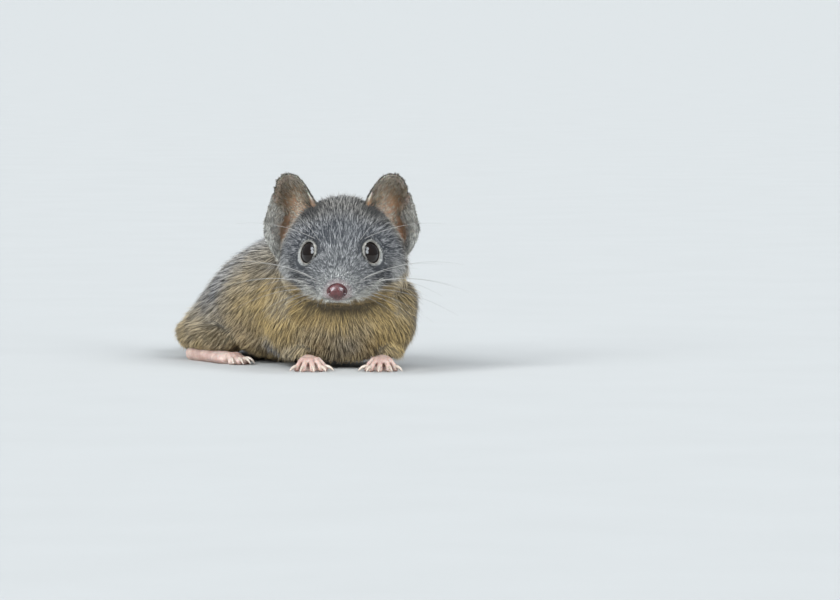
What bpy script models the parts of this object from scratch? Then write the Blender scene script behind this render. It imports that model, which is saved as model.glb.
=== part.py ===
"""A yellow-footed antechinus crouched on all fours, life size, as a still museum model.

The head and chest face -Y. The spine bends away towards +Y and -X, and the tail curls round
behind. The outer surfaces stand at the tips of the coat. Lengths below are millimetres, and
the finished meshes are scaled to metres. Right and left are the animal's own.
"""

import math

import bmesh
import bpy
import numpy as np
from mathutils import Matrix, Vector

METRES_PER_MM = 0.001
GAP = 0.3  # clearance between neighbouring pieces
SIDES = {"left": 1.0, "right": -1.0}
FLOOR_SINK = 0.25  # how far soles and tail dip below the floor before they are cut flat

# Head: a runs back from the nose, c runs out to the animal's left, b runs up.
NOSE_CENTRE = (0.0, 0.0, 14.6)
HEAD_YAW = math.radians(1.6)
HEAD_PITCH = math.radians(7.0)
# back, top, bottom and half width of the head, from the muzzle to the neck
HEAD_STATIONS = (
    (1.0, 1.5, -1.8, 2.1),
    (2.6, 2.3, -2.4, 3.0),
    (5.5, 3.7, -3.2, 4.5),
    (10.0, 6.1, -4.4, 6.5),
    (13.0, 8.3, -5.1, 8.1),
    (16.5, 10.9, -5.8, 9.8),
    (21.0, 13.2, -6.7, 11.2),
    (25.0, 13.4, -7.2, 11.6),
    (29.0, 12.0, -6.6, 11.2),
)
HEAD_TAPER = 0.24  # how much narrower the top of a section is than its middle
HEAD_SIDES = 28

NOSE_RADII = (1.75, 1.3, 1.4)  # across, deep, high
NOSE_BACK = 0.9
NOSTRIL_RADII = (0.45, 0.7, 0.36)
NOSTRIL_PLACE = (1.15, -0.25, -0.2)  # out, back, up
PHILTRUM = (0.3, 0.7, 1.6)  # width, depth and height of the groove under the nose

EYE_RADIUS = 2.45
EYE_CENTRE = (4.3, 13.6, 4.35)  # out, back, up
EYE_TURN = math.radians(48.0)  # away from straight ahead
EYE_TILT = math.radians(17.0)
LID_ANGLE = math.radians(53.0)  # from the gaze to the rim of the lids
LID_REACH = 2.95  # from the eye's centre to the middle of the lid
LID_THICKNESS = 0.5
ORBIT_FORWARD = 0.15  # the swelling of the face round the eye, along the gaze from its centre
ORBIT_RADII = (4.1, 4.4, 1.75)

# Ear margin from its front root over the tip to its lower end: out, back, up
EAR_MARGIN = (
    (4.65, 21.5, 13.0),
    (5.6, 22.0, 14.75),
    (6.7, 23.2, 16.0),
    (7.7, 24.3, 16.45),
    (9.0, 25.3, 16.5),
    (10.1, 26.2, 15.9),
    (10.9, 26.9, 14.6),
    (11.15, 27.3, 13.1),
    (11.9, 27.7, 11.65),
    (12.7, 28.0, 10.2),
    (13.3, 28.2, 8.4),
    (13.5, 28.1, 6.7),
    (13.1, 27.4, 5.1),
    (12.3, 26.2, 3.6),
    (11.2, 24.8, 2.4),
)
# The ear's root on the side of the skull, from front to lower end
EAR_ROOT = (
    (4.3, 22.4, 11.0),
    (7.0, 24.6, 9.2),
    (8.8, 25.0, 5.6),
    (9.6, 24.0, 2.4),
)
EAR_CUP = 3.4  # how far the middle of the ear is pushed back into a cup
EAR_THICKNESS = 0.9
EAR_THINNING = 0.6
EAR_ACROSS = 22
EAR_OUTWARD = 5

# The mouth line and the back of the jaw in the head's side view: back, up
JAW_OUTLINE = (
    (-2.0, -1.35),
    (2.0, -1.5),
    (6.0, -1.9),
    (9.5, -1.95),
    (11.0, -1.5),
    (13.5, -4.4),
    (18.0, -12.0),
    (-2.0, -12.0),
)
# The longest whiskers of each side: the root's out, back and up, the way they leave it in the
# same axes, and their length
WHISKERS = (
    (3.7, 5.2, 1.2, 1.0, 0.40, 0.45, 12.0),
    (4.5, 6.9, 1.4, 1.0, 0.45, 0.42, 15.5),
    (5.2, 8.6, 1.5, 1.0, 0.42, 0.36, 18.5),
    (4.9, 7.0, 0.3, 1.0, 0.42, 0.20, 17.0),
    (5.6, 8.9, 0.4, 1.0, 0.40, 0.12, 18.0),
    (5.6, 9.0, -0.9, 1.0, 0.50, -0.10, 16.5),
    (4.2, 12.6, 7.2, 1.0, 0.25, 0.45, 16.0),
)
WHISKER_RADII = (0.17, 0.06)  # at the root and at the tip
WHISKER_DROOP = 0.28  # how far a tip hangs below its straight course, in lengths
WHISKER_SWEEP = 0.14  # how far it bends back
# The planes behind head and neck: where they cross the head's axis, and their lean
HEAD_BACK = 21.6
NECK_BACK = 29.5
NECK_LEAN = math.radians(24.0)
THROAT_LEVEL = -11.2  # the neck's lower edge, along the leaning plane

# Trunk from inside the head to the tail: x, y, z, half width, half height
TRUNK_STATIONS = (
    (-0.2, 21.0, 18.5, 8.0, 7.5),
    (-0.3, 28.0, 17.2, 11.0, 10.0),
    (-2.6, 35.0, 13.8, 13.0, 10.8),
    (-7.2, 43.3, 12.9, 13.8, 11.1),
    (-11.6, 51.0, 11.0, 13.6, 10.2),
    (-16.0, 58.7, 7.9, 12.5, 7.5),
    (-20.0, 65.3, 6.0, 9.0, 5.6),
    (-23.4, 70.7, 5.4, 6.0, 4.5),
    (-25.2, 75.0, 4.7, 3.3, 3.0),
)
TRUNK_SIDES = 28
TRUNK_TAPER = 0.14  # how much narrower the back is than the middle
# Balls that fill the front of the trunk out: centre, then radii
CHEST = ((0.4, 31.5, 11.2), (13.6, 10.0, 8.6))
THROAT = ((0.2, 25.8, 12.6), (10.2, 7.6, 7.0))
BIB = ((0.7, 28.0, 9.0), (11.0, 8.6, 7.2))
BREAST = ((0.8, 29.5, 6.6), (11.6, 8.2, 5.3))
SHOULDER_RADII = (5.4, 8.6, 6.6)
SHOULDERS = {"left": (8.3, 31.8, 8.0), "right": (-8.0, 32.2, 7.8)}
REGION_MARGIN = 1.1  # how far the thigh and shoulder pieces reach past their own egg shapes
CHEST_BACK = 44.0  # world y where the chest ends, before the cut is turned along the trunk
RUMP_FRONT = 60.0

# Hips: a frame on the floor under the pelvis, forward and outward for each side
PELVIS = (-14.4, 55.4)
BODY_HEADING = (0.55, -0.83)
THIGH_FORWARD = -0.5
THIGH_OUT = 10.2
THIGH_HEIGHT = 4.1
THIGH_RADII = (5.2, 10.8, 4.4)  # thick, long, high
THIGH_TURN = math.radians(6.0)

# Forearm from elbow to wrist: x, y, z, radius
FOREARMS = {
    "left": ((10.6, 35.0, 6.0, 3.2), (9.4, 29.5, 4.3, 2.8), (7.8, 24.0, 2.5, 1.9)),
    "right": ((-11.0, 36.0, 5.8, 3.2), (-8.2, 30.0, 4.3, 2.8), (-5.5, 24.0, 2.5, 1.9)),
}
# Hands: wrist and heading on the floor
HANDS = {"left": ((7.7, 24.2), (-0.05, -1.0)), "right": ((-5.4, 24.2), (0.1, -1.0))}
# forward, half width and height of the hand's palm
PALM = ((-1.2, 1.3, 2.6), (1.0, 1.7, 2.5), (3.0, 2.2, 2.1), (4.6, 2.3, 1.7), (5.8, 1.7, 1.3))
FINGERS = ((-52.0, 2.8), (-23.0, 3.9), (-2.0, 4.3), (20.0, 3.9), (46.0, 3.0))
FINGER_ROOT = 3.6
FINGER_RADIUS = 0.66
CLAW_LENGTH = 1.7
CLAW_RADIUS = 0.34

# Hind feet: heel in the pelvis frame, then the sole's stations and the toes
HEEL_FORWARD = -2.5
HEEL_OUT = 12.4
FOOT_TURN = math.radians(2.0)
SOLE = (
    (-1.3, 1.1, 1.8),
    (0.2, 1.7, 2.6),
    (4.0, 1.8, 2.5),
    (9.0, 2.2, 2.2),
    (12.0, 2.6, 1.9),
    (13.6, 2.0, 1.4),
)
TOES = ((-20.0, 4.0), (-6.0, 4.7), (7.0, 4.6), (21.0, 4.0))
TOE_ROOT = 11.8
HALLUX = (8.6, 64.0, 2.9)  # forward, turn towards the body in degrees, length
TOE_RADIUS = 0.7

# Shank from knee to heel in the pelvis frame: forward, out, z, radius
SHANK = ((6.6, 12.6, 4.8, 2.8), (2.0, 12.9, 4.3, 2.6), (-2.6, 12.6, 3.4, 1.9))

# Tail laid on the floor: x, y, z, radius
TAIL_STATIONS = (
    (-24.6, 72.5, 5.0, 2.6),
    (-25.6, 78.0, 3.7, 2.4),
    (-25.6, 85.0, 2.5, 2.1),
    (-23.4, 92.0, 1.8, 1.9),
    (-18.4, 98.0, 1.6, 1.75),
    (-11.4, 101.6, 1.45, 1.6),
    (-3.4, 101.6, 1.3, 1.45),
    (3.6, 98.0, 1.15, 1.3),
    (8.2, 92.0, 1.0, 1.15),
    (9.4, 84.6, 0.8, 0.9),
    (8.4, 78.2, 0.5, 0.5),
)
TAIL_SIDES = 10
TAIL_LENGTHS = ("tail_base", "tail_middle", "tail_bend", "tail_tip")
RINGS_PER_TAIL_LENGTH = 7

FLESH_VOXEL = 0.55
FLESH_SMOOTHING = 9
FLESH_TRIANGLES = 2900

COAT_GREY = (0.20, 0.19, 0.16)
COAT_OCHRE = (0.42, 0.26, 0.10)
SKIN_PINK = (0.62, 0.36, 0.30)
NOSE_PINK = (0.42, 0.15, 0.14)
EYE_BLACK = (0.01, 0.01, 0.012)
TAIL_BLACK = (0.05, 0.045, 0.04)


def unit(vector):
    """The vector, or each row of an array of them, at length one."""
    vector = np.asarray(vector, float)
    return vector / np.linalg.norm(vector, axis=-1, keepdims=True)


def head_axes():
    """Rows of the head's frame in world axes: out to the left, back, up."""
    sin_yaw, cos_yaw = math.sin(HEAD_YAW), math.cos(HEAD_YAW)
    sin_pitch, cos_pitch = math.sin(HEAD_PITCH), math.cos(HEAD_PITCH)
    out = np.array((cos_yaw, -sin_yaw, 0.0))
    back = np.array((sin_yaw * cos_pitch, cos_yaw * cos_pitch, sin_pitch))
    return np.array((out, back, np.cross(out, back)))


def head_point(out, back, up):
    """A point of the head's frame, or arrays of them, in world axes."""
    local = np.stack(np.broadcast_arrays(out, back, up), axis=-1)
    return np.array(NOSE_CENTRE) + local @ head_axes()


def hip_point(side, forward, out, z):
    """A point in the pelvis frame of one side, in world axes."""
    ahead = unit(BODY_HEADING)
    across = np.array((-ahead[1], ahead[0])) * SIDES[side]
    flat = np.array(PELVIS) + forward * ahead + out * across
    return np.array((flat[0], flat[1], z))


def smooth_rows(rows, count):
    """count rows along a smooth curve through the given ones, every column alike."""
    rows = np.asarray(rows, float)
    padded = np.vstack((2 * rows[0] - rows[1], rows, 2 * rows[-1] - rows[-2]))
    along = np.linspace(0, len(rows) - 1, count)
    first = np.minimum(along.astype(int), len(rows) - 2)
    f = (along - first)[:, None]
    p0, p1, p2, p3 = (padded[first + k] for k in range(4))
    return 0.5 * (
        2 * p1
        + (p2 - p0) * f
        + (2 * p0 - 5 * p1 + 4 * p2 - p3) * f**2
        + (3 * p1 - p0 - 3 * p2 + p3) * f**3
    )


def new_object(name, mesh):
    """An object for the mesh, linked to the scene while it is worked on."""
    obj = bpy.data.objects.new(name, mesh)
    bpy.context.scene.collection.objects.link(obj)
    return obj


def from_bmesh(name, bm):
    """An object from a closed bmesh, with its faces turned outwards."""
    bm.normal_update()
    bmesh.ops.recalc_face_normals(bm, faces=bm.faces)
    mesh = bpy.data.meshes.new(name)
    bm.to_mesh(mesh)
    bm.free()
    return new_object(name, mesh)


def loft(name, rings, start, end):
    """A closed skin over rings of points, with a pole at each end."""
    count, sides = rings.shape[:2]
    bm = bmesh.new()
    rows = [[bm.verts.new(p) for p in ring] for ring in rings]
    for lower, upper in zip(rows, rows[1:]):
        for k in range(sides):
            n = (k + 1) % sides
            bm.faces.new((lower[k], lower[n], upper[n], upper[k]))
    for ring, pole in ((rows[0], start), (rows[-1], end)):
        tip = bm.verts.new(pole)
        for k in range(sides):
            bm.faces.new((ring[k], ring[(k + 1) % sides], tip))
    return from_bmesh(name, bm)


def tube(name, rows, sides, count, grow=0.0, blunt=0.6, taper=0.0):
    """A tube with elliptical sections. Rows hold x, y, z, half width, half height."""
    rows = smooth_rows(rows, count)
    centres = rows[:, :3]
    tangents = unit(np.gradient(centres, axis=0))
    across = unit(np.cross(tangents, (0, 0, 1)))
    upward = np.cross(across, tangents)
    widths = rows[:, 3:4] + grow
    heights = rows[:, -1:] + grow
    angles = np.linspace(0, 2 * np.pi, sides, endpoint=False)
    rings = (
        centres[:, None]
        + (widths * np.cos(angles) * (1 - taper * np.sin(angles)))[..., None] * across[:, None]
        + (heights * np.sin(angles))[..., None] * upward[:, None]
    )
    start = centres[0] - tangents[0] * (heights[0] * blunt + grow)
    end = centres[-1] + tangents[-1] * (heights[-1] * blunt + grow)
    return loft(name, rings, start, end)


def ellipsoid(name, centre, radii, axes=None, grow=0.0, segments=16, rings=9):
    """A ball stretched to three radii along the given axes."""
    bm = bmesh.new()
    bmesh.ops.create_uvsphere(bm, u_segments=segments, v_segments=rings, radius=1.0)
    axes = np.identity(3) if axes is None else np.asarray(axes)
    turn = Matrix(axes.T.tolist()).to_4x4()
    stretch = Matrix.Diagonal([r + grow for r in radii] + [1.0])
    bm.transform(Matrix.Translation(Vector(centre)) @ turn @ stretch)
    return from_bmesh(name, bm)


def block(name, low, high, axes=None, origin=(0, 0, 0)):
    """A box between two corners given in the axes of a frame."""
    bm = bmesh.new()
    bmesh.ops.create_cube(bm, size=1.0)
    low, high = np.array(low, float), np.array(high, float)
    axes = np.identity(3) if axes is None else np.asarray(axes)
    shape = Matrix.Translation(Vector((low + high) / 2)) @ Matrix.Diagonal(
        [*(high - low), 1.0]
    )
    frame = Matrix.Translation(Vector(origin)) @ Matrix(axes.T.tolist()).to_4x4()
    bm.transform(frame @ shape)
    return from_bmesh(name, bm)


def evaluated(obj):
    """Puts the result of the object's modifiers into its mesh."""
    graph = bpy.context.evaluated_depsgraph_get()
    mesh = bpy.data.meshes.new_from_object(obj.evaluated_get(graph))
    obj.modifiers.clear()
    obj.data = mesh
    return obj


def discard(obj):
    """Removes a helper object."""
    bpy.data.objects.remove(obj)


def keep_largest(obj):
    """Keeps the largest closed surface of a mesh, and drops loose scraps and sealed hollows."""
    bm = bmesh.new()
    bm.from_mesh(obj.data)
    islands, seen = [], set()
    for face in bm.faces:
        if face in seen:
            continue
        island, frontier = [], [face]
        seen.add(face)
        while frontier:
            current = frontier.pop()
            island.append(current)
            for edge in current.edges:
                for other in edge.link_faces:
                    if other not in seen:
                        seen.add(other)
                        frontier.append(other)
        islands.append(island)
    islands.sort(key=lambda faces: sum(f.calc_area() for f in faces), reverse=True)
    for island in islands[1:]:
        verts = {v for f in island for v in f.verts}
        bmesh.ops.delete(bm, geom=list(verts), context="VERTS")
    bm.to_mesh(obj.data)
    bm.free()
    return obj


def is_closed(mesh):
    """Whether every edge of the mesh has two faces."""
    edges = np.empty(len(mesh.loops), int)
    mesh.loops.foreach_get("edge_index", edges)
    return len(edges) > 0 and bool((np.bincount(edges, minlength=len(mesh.edges)) == 2).all())


def boolean(obj, other, operation):
    """One Boolean between two closed meshes. The second object stays."""
    before = obj.data
    for solver in ("EXACT", "MANIFOLD"):
        obj.data = before
        modifier = obj.modifiers.new(operation, "BOOLEAN")
        modifier.operation = operation
        modifier.object = other
        modifier.solver = solver
        evaluated(obj)
        if is_closed(obj.data):
            break
    return obj


def cut(obj, *cutters):
    """Takes the cutters away from the object, and removes them."""
    for cutter in cutters:
        boolean(obj, cutter, "DIFFERENCE")
        discard(cutter)
    return keep_largest(obj)


def fuse(name, pieces):
    """Joins closed pieces into one closed body with a Boolean union on their collection."""
    base, others = pieces[0], pieces[1:]
    fusing = bpy.data.collections.new("fusing")
    bpy.context.scene.collection.children.link(fusing)
    for piece in others:
        bpy.context.scene.collection.objects.unlink(piece)
        fusing.objects.link(piece)
    before = base.data
    for solver in ("EXACT", "MANIFOLD"):
        base.data = before
        modifier = base.modifiers.new("fuse", "BOOLEAN")
        modifier.operation = "UNION"
        modifier.operand_type = "COLLECTION"
        modifier.collection = fusing
        modifier.solver = solver
        evaluated(base)
        if is_closed(base.data):
            break
    for piece in others:
        discard(piece)
    bpy.data.collections.remove(fusing)
    base.name = name
    return keep_largest(base)


def part_off(name, whole, region, grown_region):
    """Splits the piece inside a region off the whole, leaving the gap between them."""
    piece = new_object(name, whole.data.copy())
    boolean(piece, region, "INTERSECT")
    discard(region)
    cut(whole, grown_region)
    return keep_largest(piece)


def head_form():
    """The head as a loft whose sections are wide below and narrow on top."""
    rows = smooth_rows(HEAD_STATIONS, 26)
    back, top, bottom, half = (rows[:, k : k + 1] for k in range(4))
    angles = np.linspace(0, 2 * np.pi, HEAD_SIDES, endpoint=False)
    middle, tall = (top + bottom) / 2, (top - bottom) / 2
    narrowing = 1 - HEAD_TAPER * np.sin(angles)
    rings = head_point(
        half * np.cos(angles) * narrowing,
        back * np.ones_like(angles),
        middle + tall * np.sin(angles),
    )
    front = head_point(0.0, HEAD_STATIONS[0][0] - 0.5, 0.0)
    rear = head_point(0.0, HEAD_STATIONS[-1][0] + 3.0, 2.0)
    return loft("head_form", rings, front, rear)


def gaze_axes(side):
    """Three axes of one eye, the last one along its gaze."""
    out, back, up = head_axes()
    gaze = (
        SIDES[side] * math.sin(EYE_TURN) * math.cos(EYE_TILT) * out
        - math.cos(EYE_TURN) * math.cos(EYE_TILT) * back
        + math.sin(EYE_TILT) * up
    )
    across = unit(np.cross(up, gaze))
    return np.array((across, np.cross(gaze, across), gaze))


def eye_centre(side):
    """The centre of one eyeball."""
    out, back, up = EYE_CENTRE
    return head_point(SIDES[side] * out, back, up)


def eye(side, grow=0.0):
    """One eyeball."""
    radii = (EYE_RADIUS,) * 3
    name = f"eye_{side}"
    return ellipsoid(name, eye_centre(side), radii, gaze_axes(side), grow, 16, 9)


def lids(side):
    """The ring of lid skin round one eye, which the socket is then cut through."""
    across, upward, gaze = gaze_axes(side)
    centre = eye_centre(side) + gaze * LID_REACH * math.cos(LID_ANGLE)
    radius = LID_REACH * math.sin(LID_ANGLE)
    turns = np.linspace(0, 2 * np.pi, 20, endpoint=False)
    section = np.linspace(0, 2 * np.pi, 8, endpoint=False)
    spokes = np.cos(turns)[:, None] * across + np.sin(turns)[:, None] * upward
    reach = radius + LID_THICKNESS * np.cos(section)
    rise = LID_THICKNESS * np.sin(section)
    rings = centre + spokes[:, None] * reach[:, None] + gaze * rise[:, None]
    bm = bmesh.new()
    rows = [[bm.verts.new(p) for p in ring] for ring in rings]
    for i, row in enumerate(rows):
        following = rows[(i + 1) % len(rows)]
        for k in range(len(row)):
            n = (k + 1) % len(row)
            bm.faces.new((row[k], row[n], following[n], following[k]))
    return from_bmesh("lids", bm)


def nose(grow=0.0):
    """The bare nose pad, before its nostrils."""
    centre = head_point(0.0, NOSE_BACK, 0.0)
    return ellipsoid("nose", centre, NOSE_RADII, head_axes(), grow, 16, 10)


def nose_cutters():
    """The two nostrils and the groove between them."""
    out, back, up = NOSTRIL_PLACE
    tools = [
        ellipsoid("nostril", head_point(s * out, back, up), NOSTRIL_RADII, head_axes(), 0, 10, 6)
        for s in SIDES.values()
    ]
    width, depth, height = PHILTRUM
    front = NOSE_BACK - NOSE_RADII[1]
    low = (-width / 2, front - depth, -height - 0.2)
    high = (width / 2, front + depth / 2, -0.2)
    tools.append(block("philtrum", low, high, head_axes(), NOSE_CENTRE))
    return tools


def ear_sheet(side):
    """The middle of the ear's wall as rows of points from the root out to the margin."""
    margin = smooth_rows(EAR_MARGIN, EAR_ACROSS)
    root = smooth_rows(EAR_ROOT, EAR_ACROSS)
    outward = np.linspace(0, 1, EAR_OUTWARD)[:, None, None]
    sheet = root + (margin - root) * outward
    along = np.linspace(0, 1, EAR_ACROSS)[None, :]
    bowl = np.sin(np.pi * outward[..., 0] ** 0.8) * np.sin(np.pi * along) ** 0.7
    sheet[..., 1] += EAR_CUP * bowl
    sheet[..., 0] *= SIDES[side]
    return head_point(sheet[..., 0], sheet[..., 1], sheet[..., 2])


def ear(side):
    """One cupped ear, thick at its root and thin at its margin."""
    sheet = ear_sheet(side)
    normals = unit(np.cross(np.gradient(sheet, axis=0), np.gradient(sheet, axis=1)))
    thinning = np.linspace(1.0, EAR_THINNING, EAR_OUTWARD)[:, None, None]
    half = normals * EAR_THICKNESS * thinning / 2
    bm = bmesh.new()
    front, back = (
        [[bm.verts.new(p) for p in row] for row in wall] for wall in (sheet + half, sheet - half)
    )
    for rows in (front, back):
        for lower, upper in zip(rows, rows[1:]):
            for k in range(EAR_ACROSS - 1):
                bm.faces.new((lower[k], lower[k + 1], upper[k + 1]))
                bm.faces.new((lower[k], upper[k + 1], upper[k]))
    rims = (
        (front[0], back[0]),
        (front[-1], back[-1]),
        ([row[0] for row in front], [row[0] for row in back]),
        ([row[-1] for row in front], [row[-1] for row in back]),
    )
    for near, far in rims:
        for k in range(len(near) - 1):
            bm.faces.new((near[k], near[k + 1], far[k + 1], far[k]))
    return from_bmesh(f"ear_{side}", bm)


def digit_pieces(root, heading, length, radius, claw, grow=0.0):
    """One finger or toe that arches to the floor, and its claw."""
    ahead = np.array((heading[0], heading[1], 0.0))
    rise = np.array((0.0, 0.0, 1.0))
    knuckle = np.array((root[0], root[1], 0.0))
    rows = [
        (*(knuckle + rise * radius * 1.5), radius, radius),
        (*(knuckle + ahead * length * 0.4 + rise * radius * 2.0), radius, radius),
        (*(knuckle + ahead * length * 0.8 + rise * radius * 1.3), radius, radius),
        (*(knuckle + ahead * length + rise * radius * 0.9), radius * 0.8, radius * 0.8),
    ]
    pieces = [tube("digit", rows, 6, 4, grow)]
    if claw:
        tip = knuckle + ahead * length
        rows = [
            (*(tip - ahead * 0.3 + rise * radius * 1.35), CLAW_RADIUS, CLAW_RADIUS),
            (*(tip + ahead * claw * 0.35 + rise * radius * 1.3), 0.3, 0.3),
            (*(tip + ahead * claw * 0.7 + rise * radius * 0.8), 0.2, 0.22),
            (*(tip + ahead * claw * 0.85 + rise * 0.16), 0.07, 0.07),
        ]
        pieces.append(tube("claw", rows, 4, 4, grow, 0.3))
    return pieces


def sole_piece(stations, base, heading, grow=0.0):
    """The flat-bottomed pad of a hand or foot, which dips a little below the floor."""
    ahead = np.array((*unit(heading), 0.0))
    rows = []
    for forward, half, height in stations:
        centre = np.array((*base, 0.0)) + ahead * forward
        rise = (height - FLOOR_SINK) / 2
        rows.append((centre[0], centre[1], rise, half, height / 2 + FLOOR_SINK / 2))
    return tube("sole", rows, 12, 7, grow)


def turned(heading, degrees):
    """A flat heading turned to the left, seen from above."""
    angle = math.radians(degrees)
    x, y = unit(heading)
    cos, sin = math.cos(angle), math.sin(angle)
    return np.array((cos * x - sin * y, sin * x + cos * y))


def hand(side, grow=0.0):
    """One forefoot: palm, five fingers and their claws."""
    wrist, heading = HANDS[side]
    pieces = [sole_piece(PALM, wrist, heading, grow)]
    for turn, length in FINGERS:
        way = turned(heading, turn * SIDES[side])
        root = np.array(wrist) + unit(heading) * FINGER_ROOT + way * 0.6
        pieces += digit_pieces(root, way, length, FINGER_RADIUS, CLAW_LENGTH, grow)
    return fuse(f"hand_{side}", pieces)


def foot_place(side):
    """Heel and heading of one hind foot on the floor."""
    heel = hip_point(side, HEEL_FORWARD, HEEL_OUT, 0.0)[:2]
    heading = turned(BODY_HEADING, math.degrees(FOOT_TURN) * SIDES[side])
    return heel, heading


def foot(side, grow=0.0):
    """One hind foot: long sole, four clawed toes and the clawless inner toe."""
    heel, heading = foot_place(side)
    pieces = [sole_piece(SOLE, heel, heading, grow)]
    for turn, length in TOES:
        way = turned(heading, turn)
        root = heel + heading * TOE_ROOT + way * 0.6
        pieces += digit_pieces(root, way, length, TOE_RADIUS, CLAW_LENGTH, grow)
    forward, turn, length = HALLUX
    way = turned(heading, -turn * SIDES[side])
    pieces += digit_pieces(heel + heading * forward, way, length, TOE_RADIUS, 0.0, grow)
    return fuse(f"foot_{side}", pieces)


def forearm(side, grow=0.0):
    """One forearm from the elbow, half hidden in the chest's coat, to the wrist."""
    rows = [(x, y, z, r, r) for x, y, z, r in FOREARMS[side]]
    return tube(f"forearm_{side}", rows, 12, 7, grow)


def shank(side, grow=0.0):
    """One shank, folded under the thigh from the knee back to the heel."""
    rows = []
    for forward, out, z, radius in SHANK:
        rows.append((*hip_point(side, forward, out, z), radius, radius))
    return tube(f"shank_{side}", rows, 12, 7, grow)


def thigh_region(name, side, grow=0.0):
    """The thigh's own egg shape, used both as flesh and as the region that it is parted by."""
    centre = hip_point(side, THIGH_FORWARD, THIGH_OUT, THIGH_HEIGHT)
    heading = turned(BODY_HEADING, math.degrees(THIGH_TURN) * SIDES[side])
    along = unit((*heading, -0.08))
    across = unit(np.cross(along, (0, 0, 1)))
    axes = np.array((across, along, np.cross(across, along)))
    return ellipsoid(name, centre, THIGH_RADII, axes, grow)


def shoulder_region(name, side, grow=0.0):
    """The upper arm's egg shape over the shoulder."""
    return ellipsoid(name, SHOULDERS[side], SHOULDER_RADII, None, grow)


def trunk_plane(y_place):
    """A point on the trunk's line at one y, and the heading of the trunk there."""
    rows = smooth_rows(TRUNK_STATIONS, 200)
    nearest = int(np.argmin(abs(rows[:, 1] - y_place)))
    heading = rows[nearest + 1, :2] - rows[nearest - 1, :2]
    return rows[nearest, :3], unit((*heading, 0.0))


def behind(name, y_place, grow=0.0):
    """Everything behind a plane across the trunk."""
    point, heading = trunk_plane(y_place)
    across = unit(np.cross(heading, (0, 0, 1)))
    axes = np.array((across, heading, (0, 0, 1)))
    return block(name, (-40, -grow, -40), (40, 60, 40), axes, point)


def flesh_form(grow=0.0):
    """Head, neck and trunk with shoulders and thighs, blended into one smooth body."""
    pieces = [
        tube("trunk", TRUNK_STATIONS, TRUNK_SIDES, 40, taper=TRUNK_TAPER),
        head_form(),
        ellipsoid("chest", *CHEST),
        ellipsoid("throat", *THROAT),
        ellipsoid("bib", *BIB),
        ellipsoid("breast", *BREAST),
    ]
    for side in SIDES:
        pieces.append(thigh_region("thigh", side))
        pieces.append(shoulder_region("shoulder", side))
        centre = eye_centre(side) + gaze_axes(side)[2] * ORBIT_FORWARD
        pieces.append(ellipsoid("orbit", centre, ORBIT_RADII, gaze_axes(side)))
    body = fuse("flesh", pieces)
    remesh = body.modifiers.new("remesh", "REMESH")
    remesh.mode = "VOXEL"
    remesh.voxel_size = FLESH_VOXEL
    smooth = body.modifiers.new("smooth", "SMOOTH")
    smooth.factor = 0.5
    smooth.iterations = FLESH_SMOOTHING
    swell = body.modifiers.new("swell", "DISPLACE")
    swell.mid_level = 0.0
    swell.strength = grow
    evaluated(body)
    body.data.calc_loop_triangles()
    thin = body.modifiers.new("thin", "DECIMATE")
    thin.ratio = FLESH_TRIANGLES / len(body.data.loop_triangles)
    thin.use_collapse_triangulate = True
    return evaluated(body)


def jaw_region(name, grow=0.0):
    """A wedge across the head whose upper edge is the mouth line."""
    outline = np.array(JAW_OUTLINE)
    bm = bmesh.new()
    half = 15.0
    rows = []
    for out in (-half, half):
        row = [head_point(out, a, b + grow) for a, b in outline]
        rows.append([bm.verts.new(p) for p in row])
    bm.faces.new(rows[0])
    bm.faces.new(rows[1])
    for k in range(len(outline)):
        n = (k + 1) % len(outline)
        bm.faces.new((rows[0][k], rows[0][n], rows[1][n], rows[1][k]))
    return from_bmesh(name, bm)


def whiskers(side):
    """The long whiskers of one side, rooted inside the muzzle and the brow."""
    pieces = []
    along = np.linspace(0, 1, 5)[:, None]
    for out, back, up, *way, length in WHISKERS:
        root = head_point(SIDES[side] * out, back, up)
        ahead = unit(np.array(way) * (SIDES[side], 1, 1)) @ head_axes()
        bend = np.array((0.0, WHISKER_SWEEP, -WHISKER_DROOP))
        path = root + length * (ahead * along + bend * along**2)
        radius = WHISKER_RADII[0] + (WHISKER_RADII[1] - WHISKER_RADII[0]) * along
        pieces.append(tube("whisker", np.hstack((path, radius, radius)), 5, 8))
    return pieces


def ahead_of(name, place, level, grow=0.0):
    """What lies before a plane that crosses the head's axis and leans forward below."""
    out, back, up = head_axes()
    normal = math.cos(NECK_LEAN) * back - math.sin(NECK_LEAN) * up
    axes = np.array((out, normal, np.cross(out, normal)))
    low, high = (-25, -60, level - grow), (25, grow, 45)
    return block(name, low, high, axes, head_point(0.0, place, 0.0))


def split_flesh(flesh):
    """Parts the body into jaw, head, neck, limbs, chest, belly and rump."""
    nodes = [part_off("jaw", flesh, jaw_region("r"), jaw_region("g", GAP))]
    for name, *plane in (("head", HEAD_BACK, -45), ("neck", NECK_BACK, THROAT_LEVEL)):
        grown = ahead_of("g", *plane, GAP)
        nodes.append(part_off(name, flesh, ahead_of("r", *plane), grown))
    for side in SIDES:
        for name, region in (("thigh", thigh_region), ("upper_arm", shoulder_region)):
            node = f"{name}_{side}"
            inside = region("r", side, REGION_MARGIN)
            grown = region("g", side, REGION_MARGIN + GAP)
            nodes.append(part_off(node, flesh, inside, grown))
    for name, place in (("rump", RUMP_FRONT), ("belly", CHEST_BACK)):
        nodes.append(
            part_off(name, flesh, behind("r", place), behind("g", place, GAP))
        )
    flesh.name = "chest"
    nodes.append(flesh)
    return nodes


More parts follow.
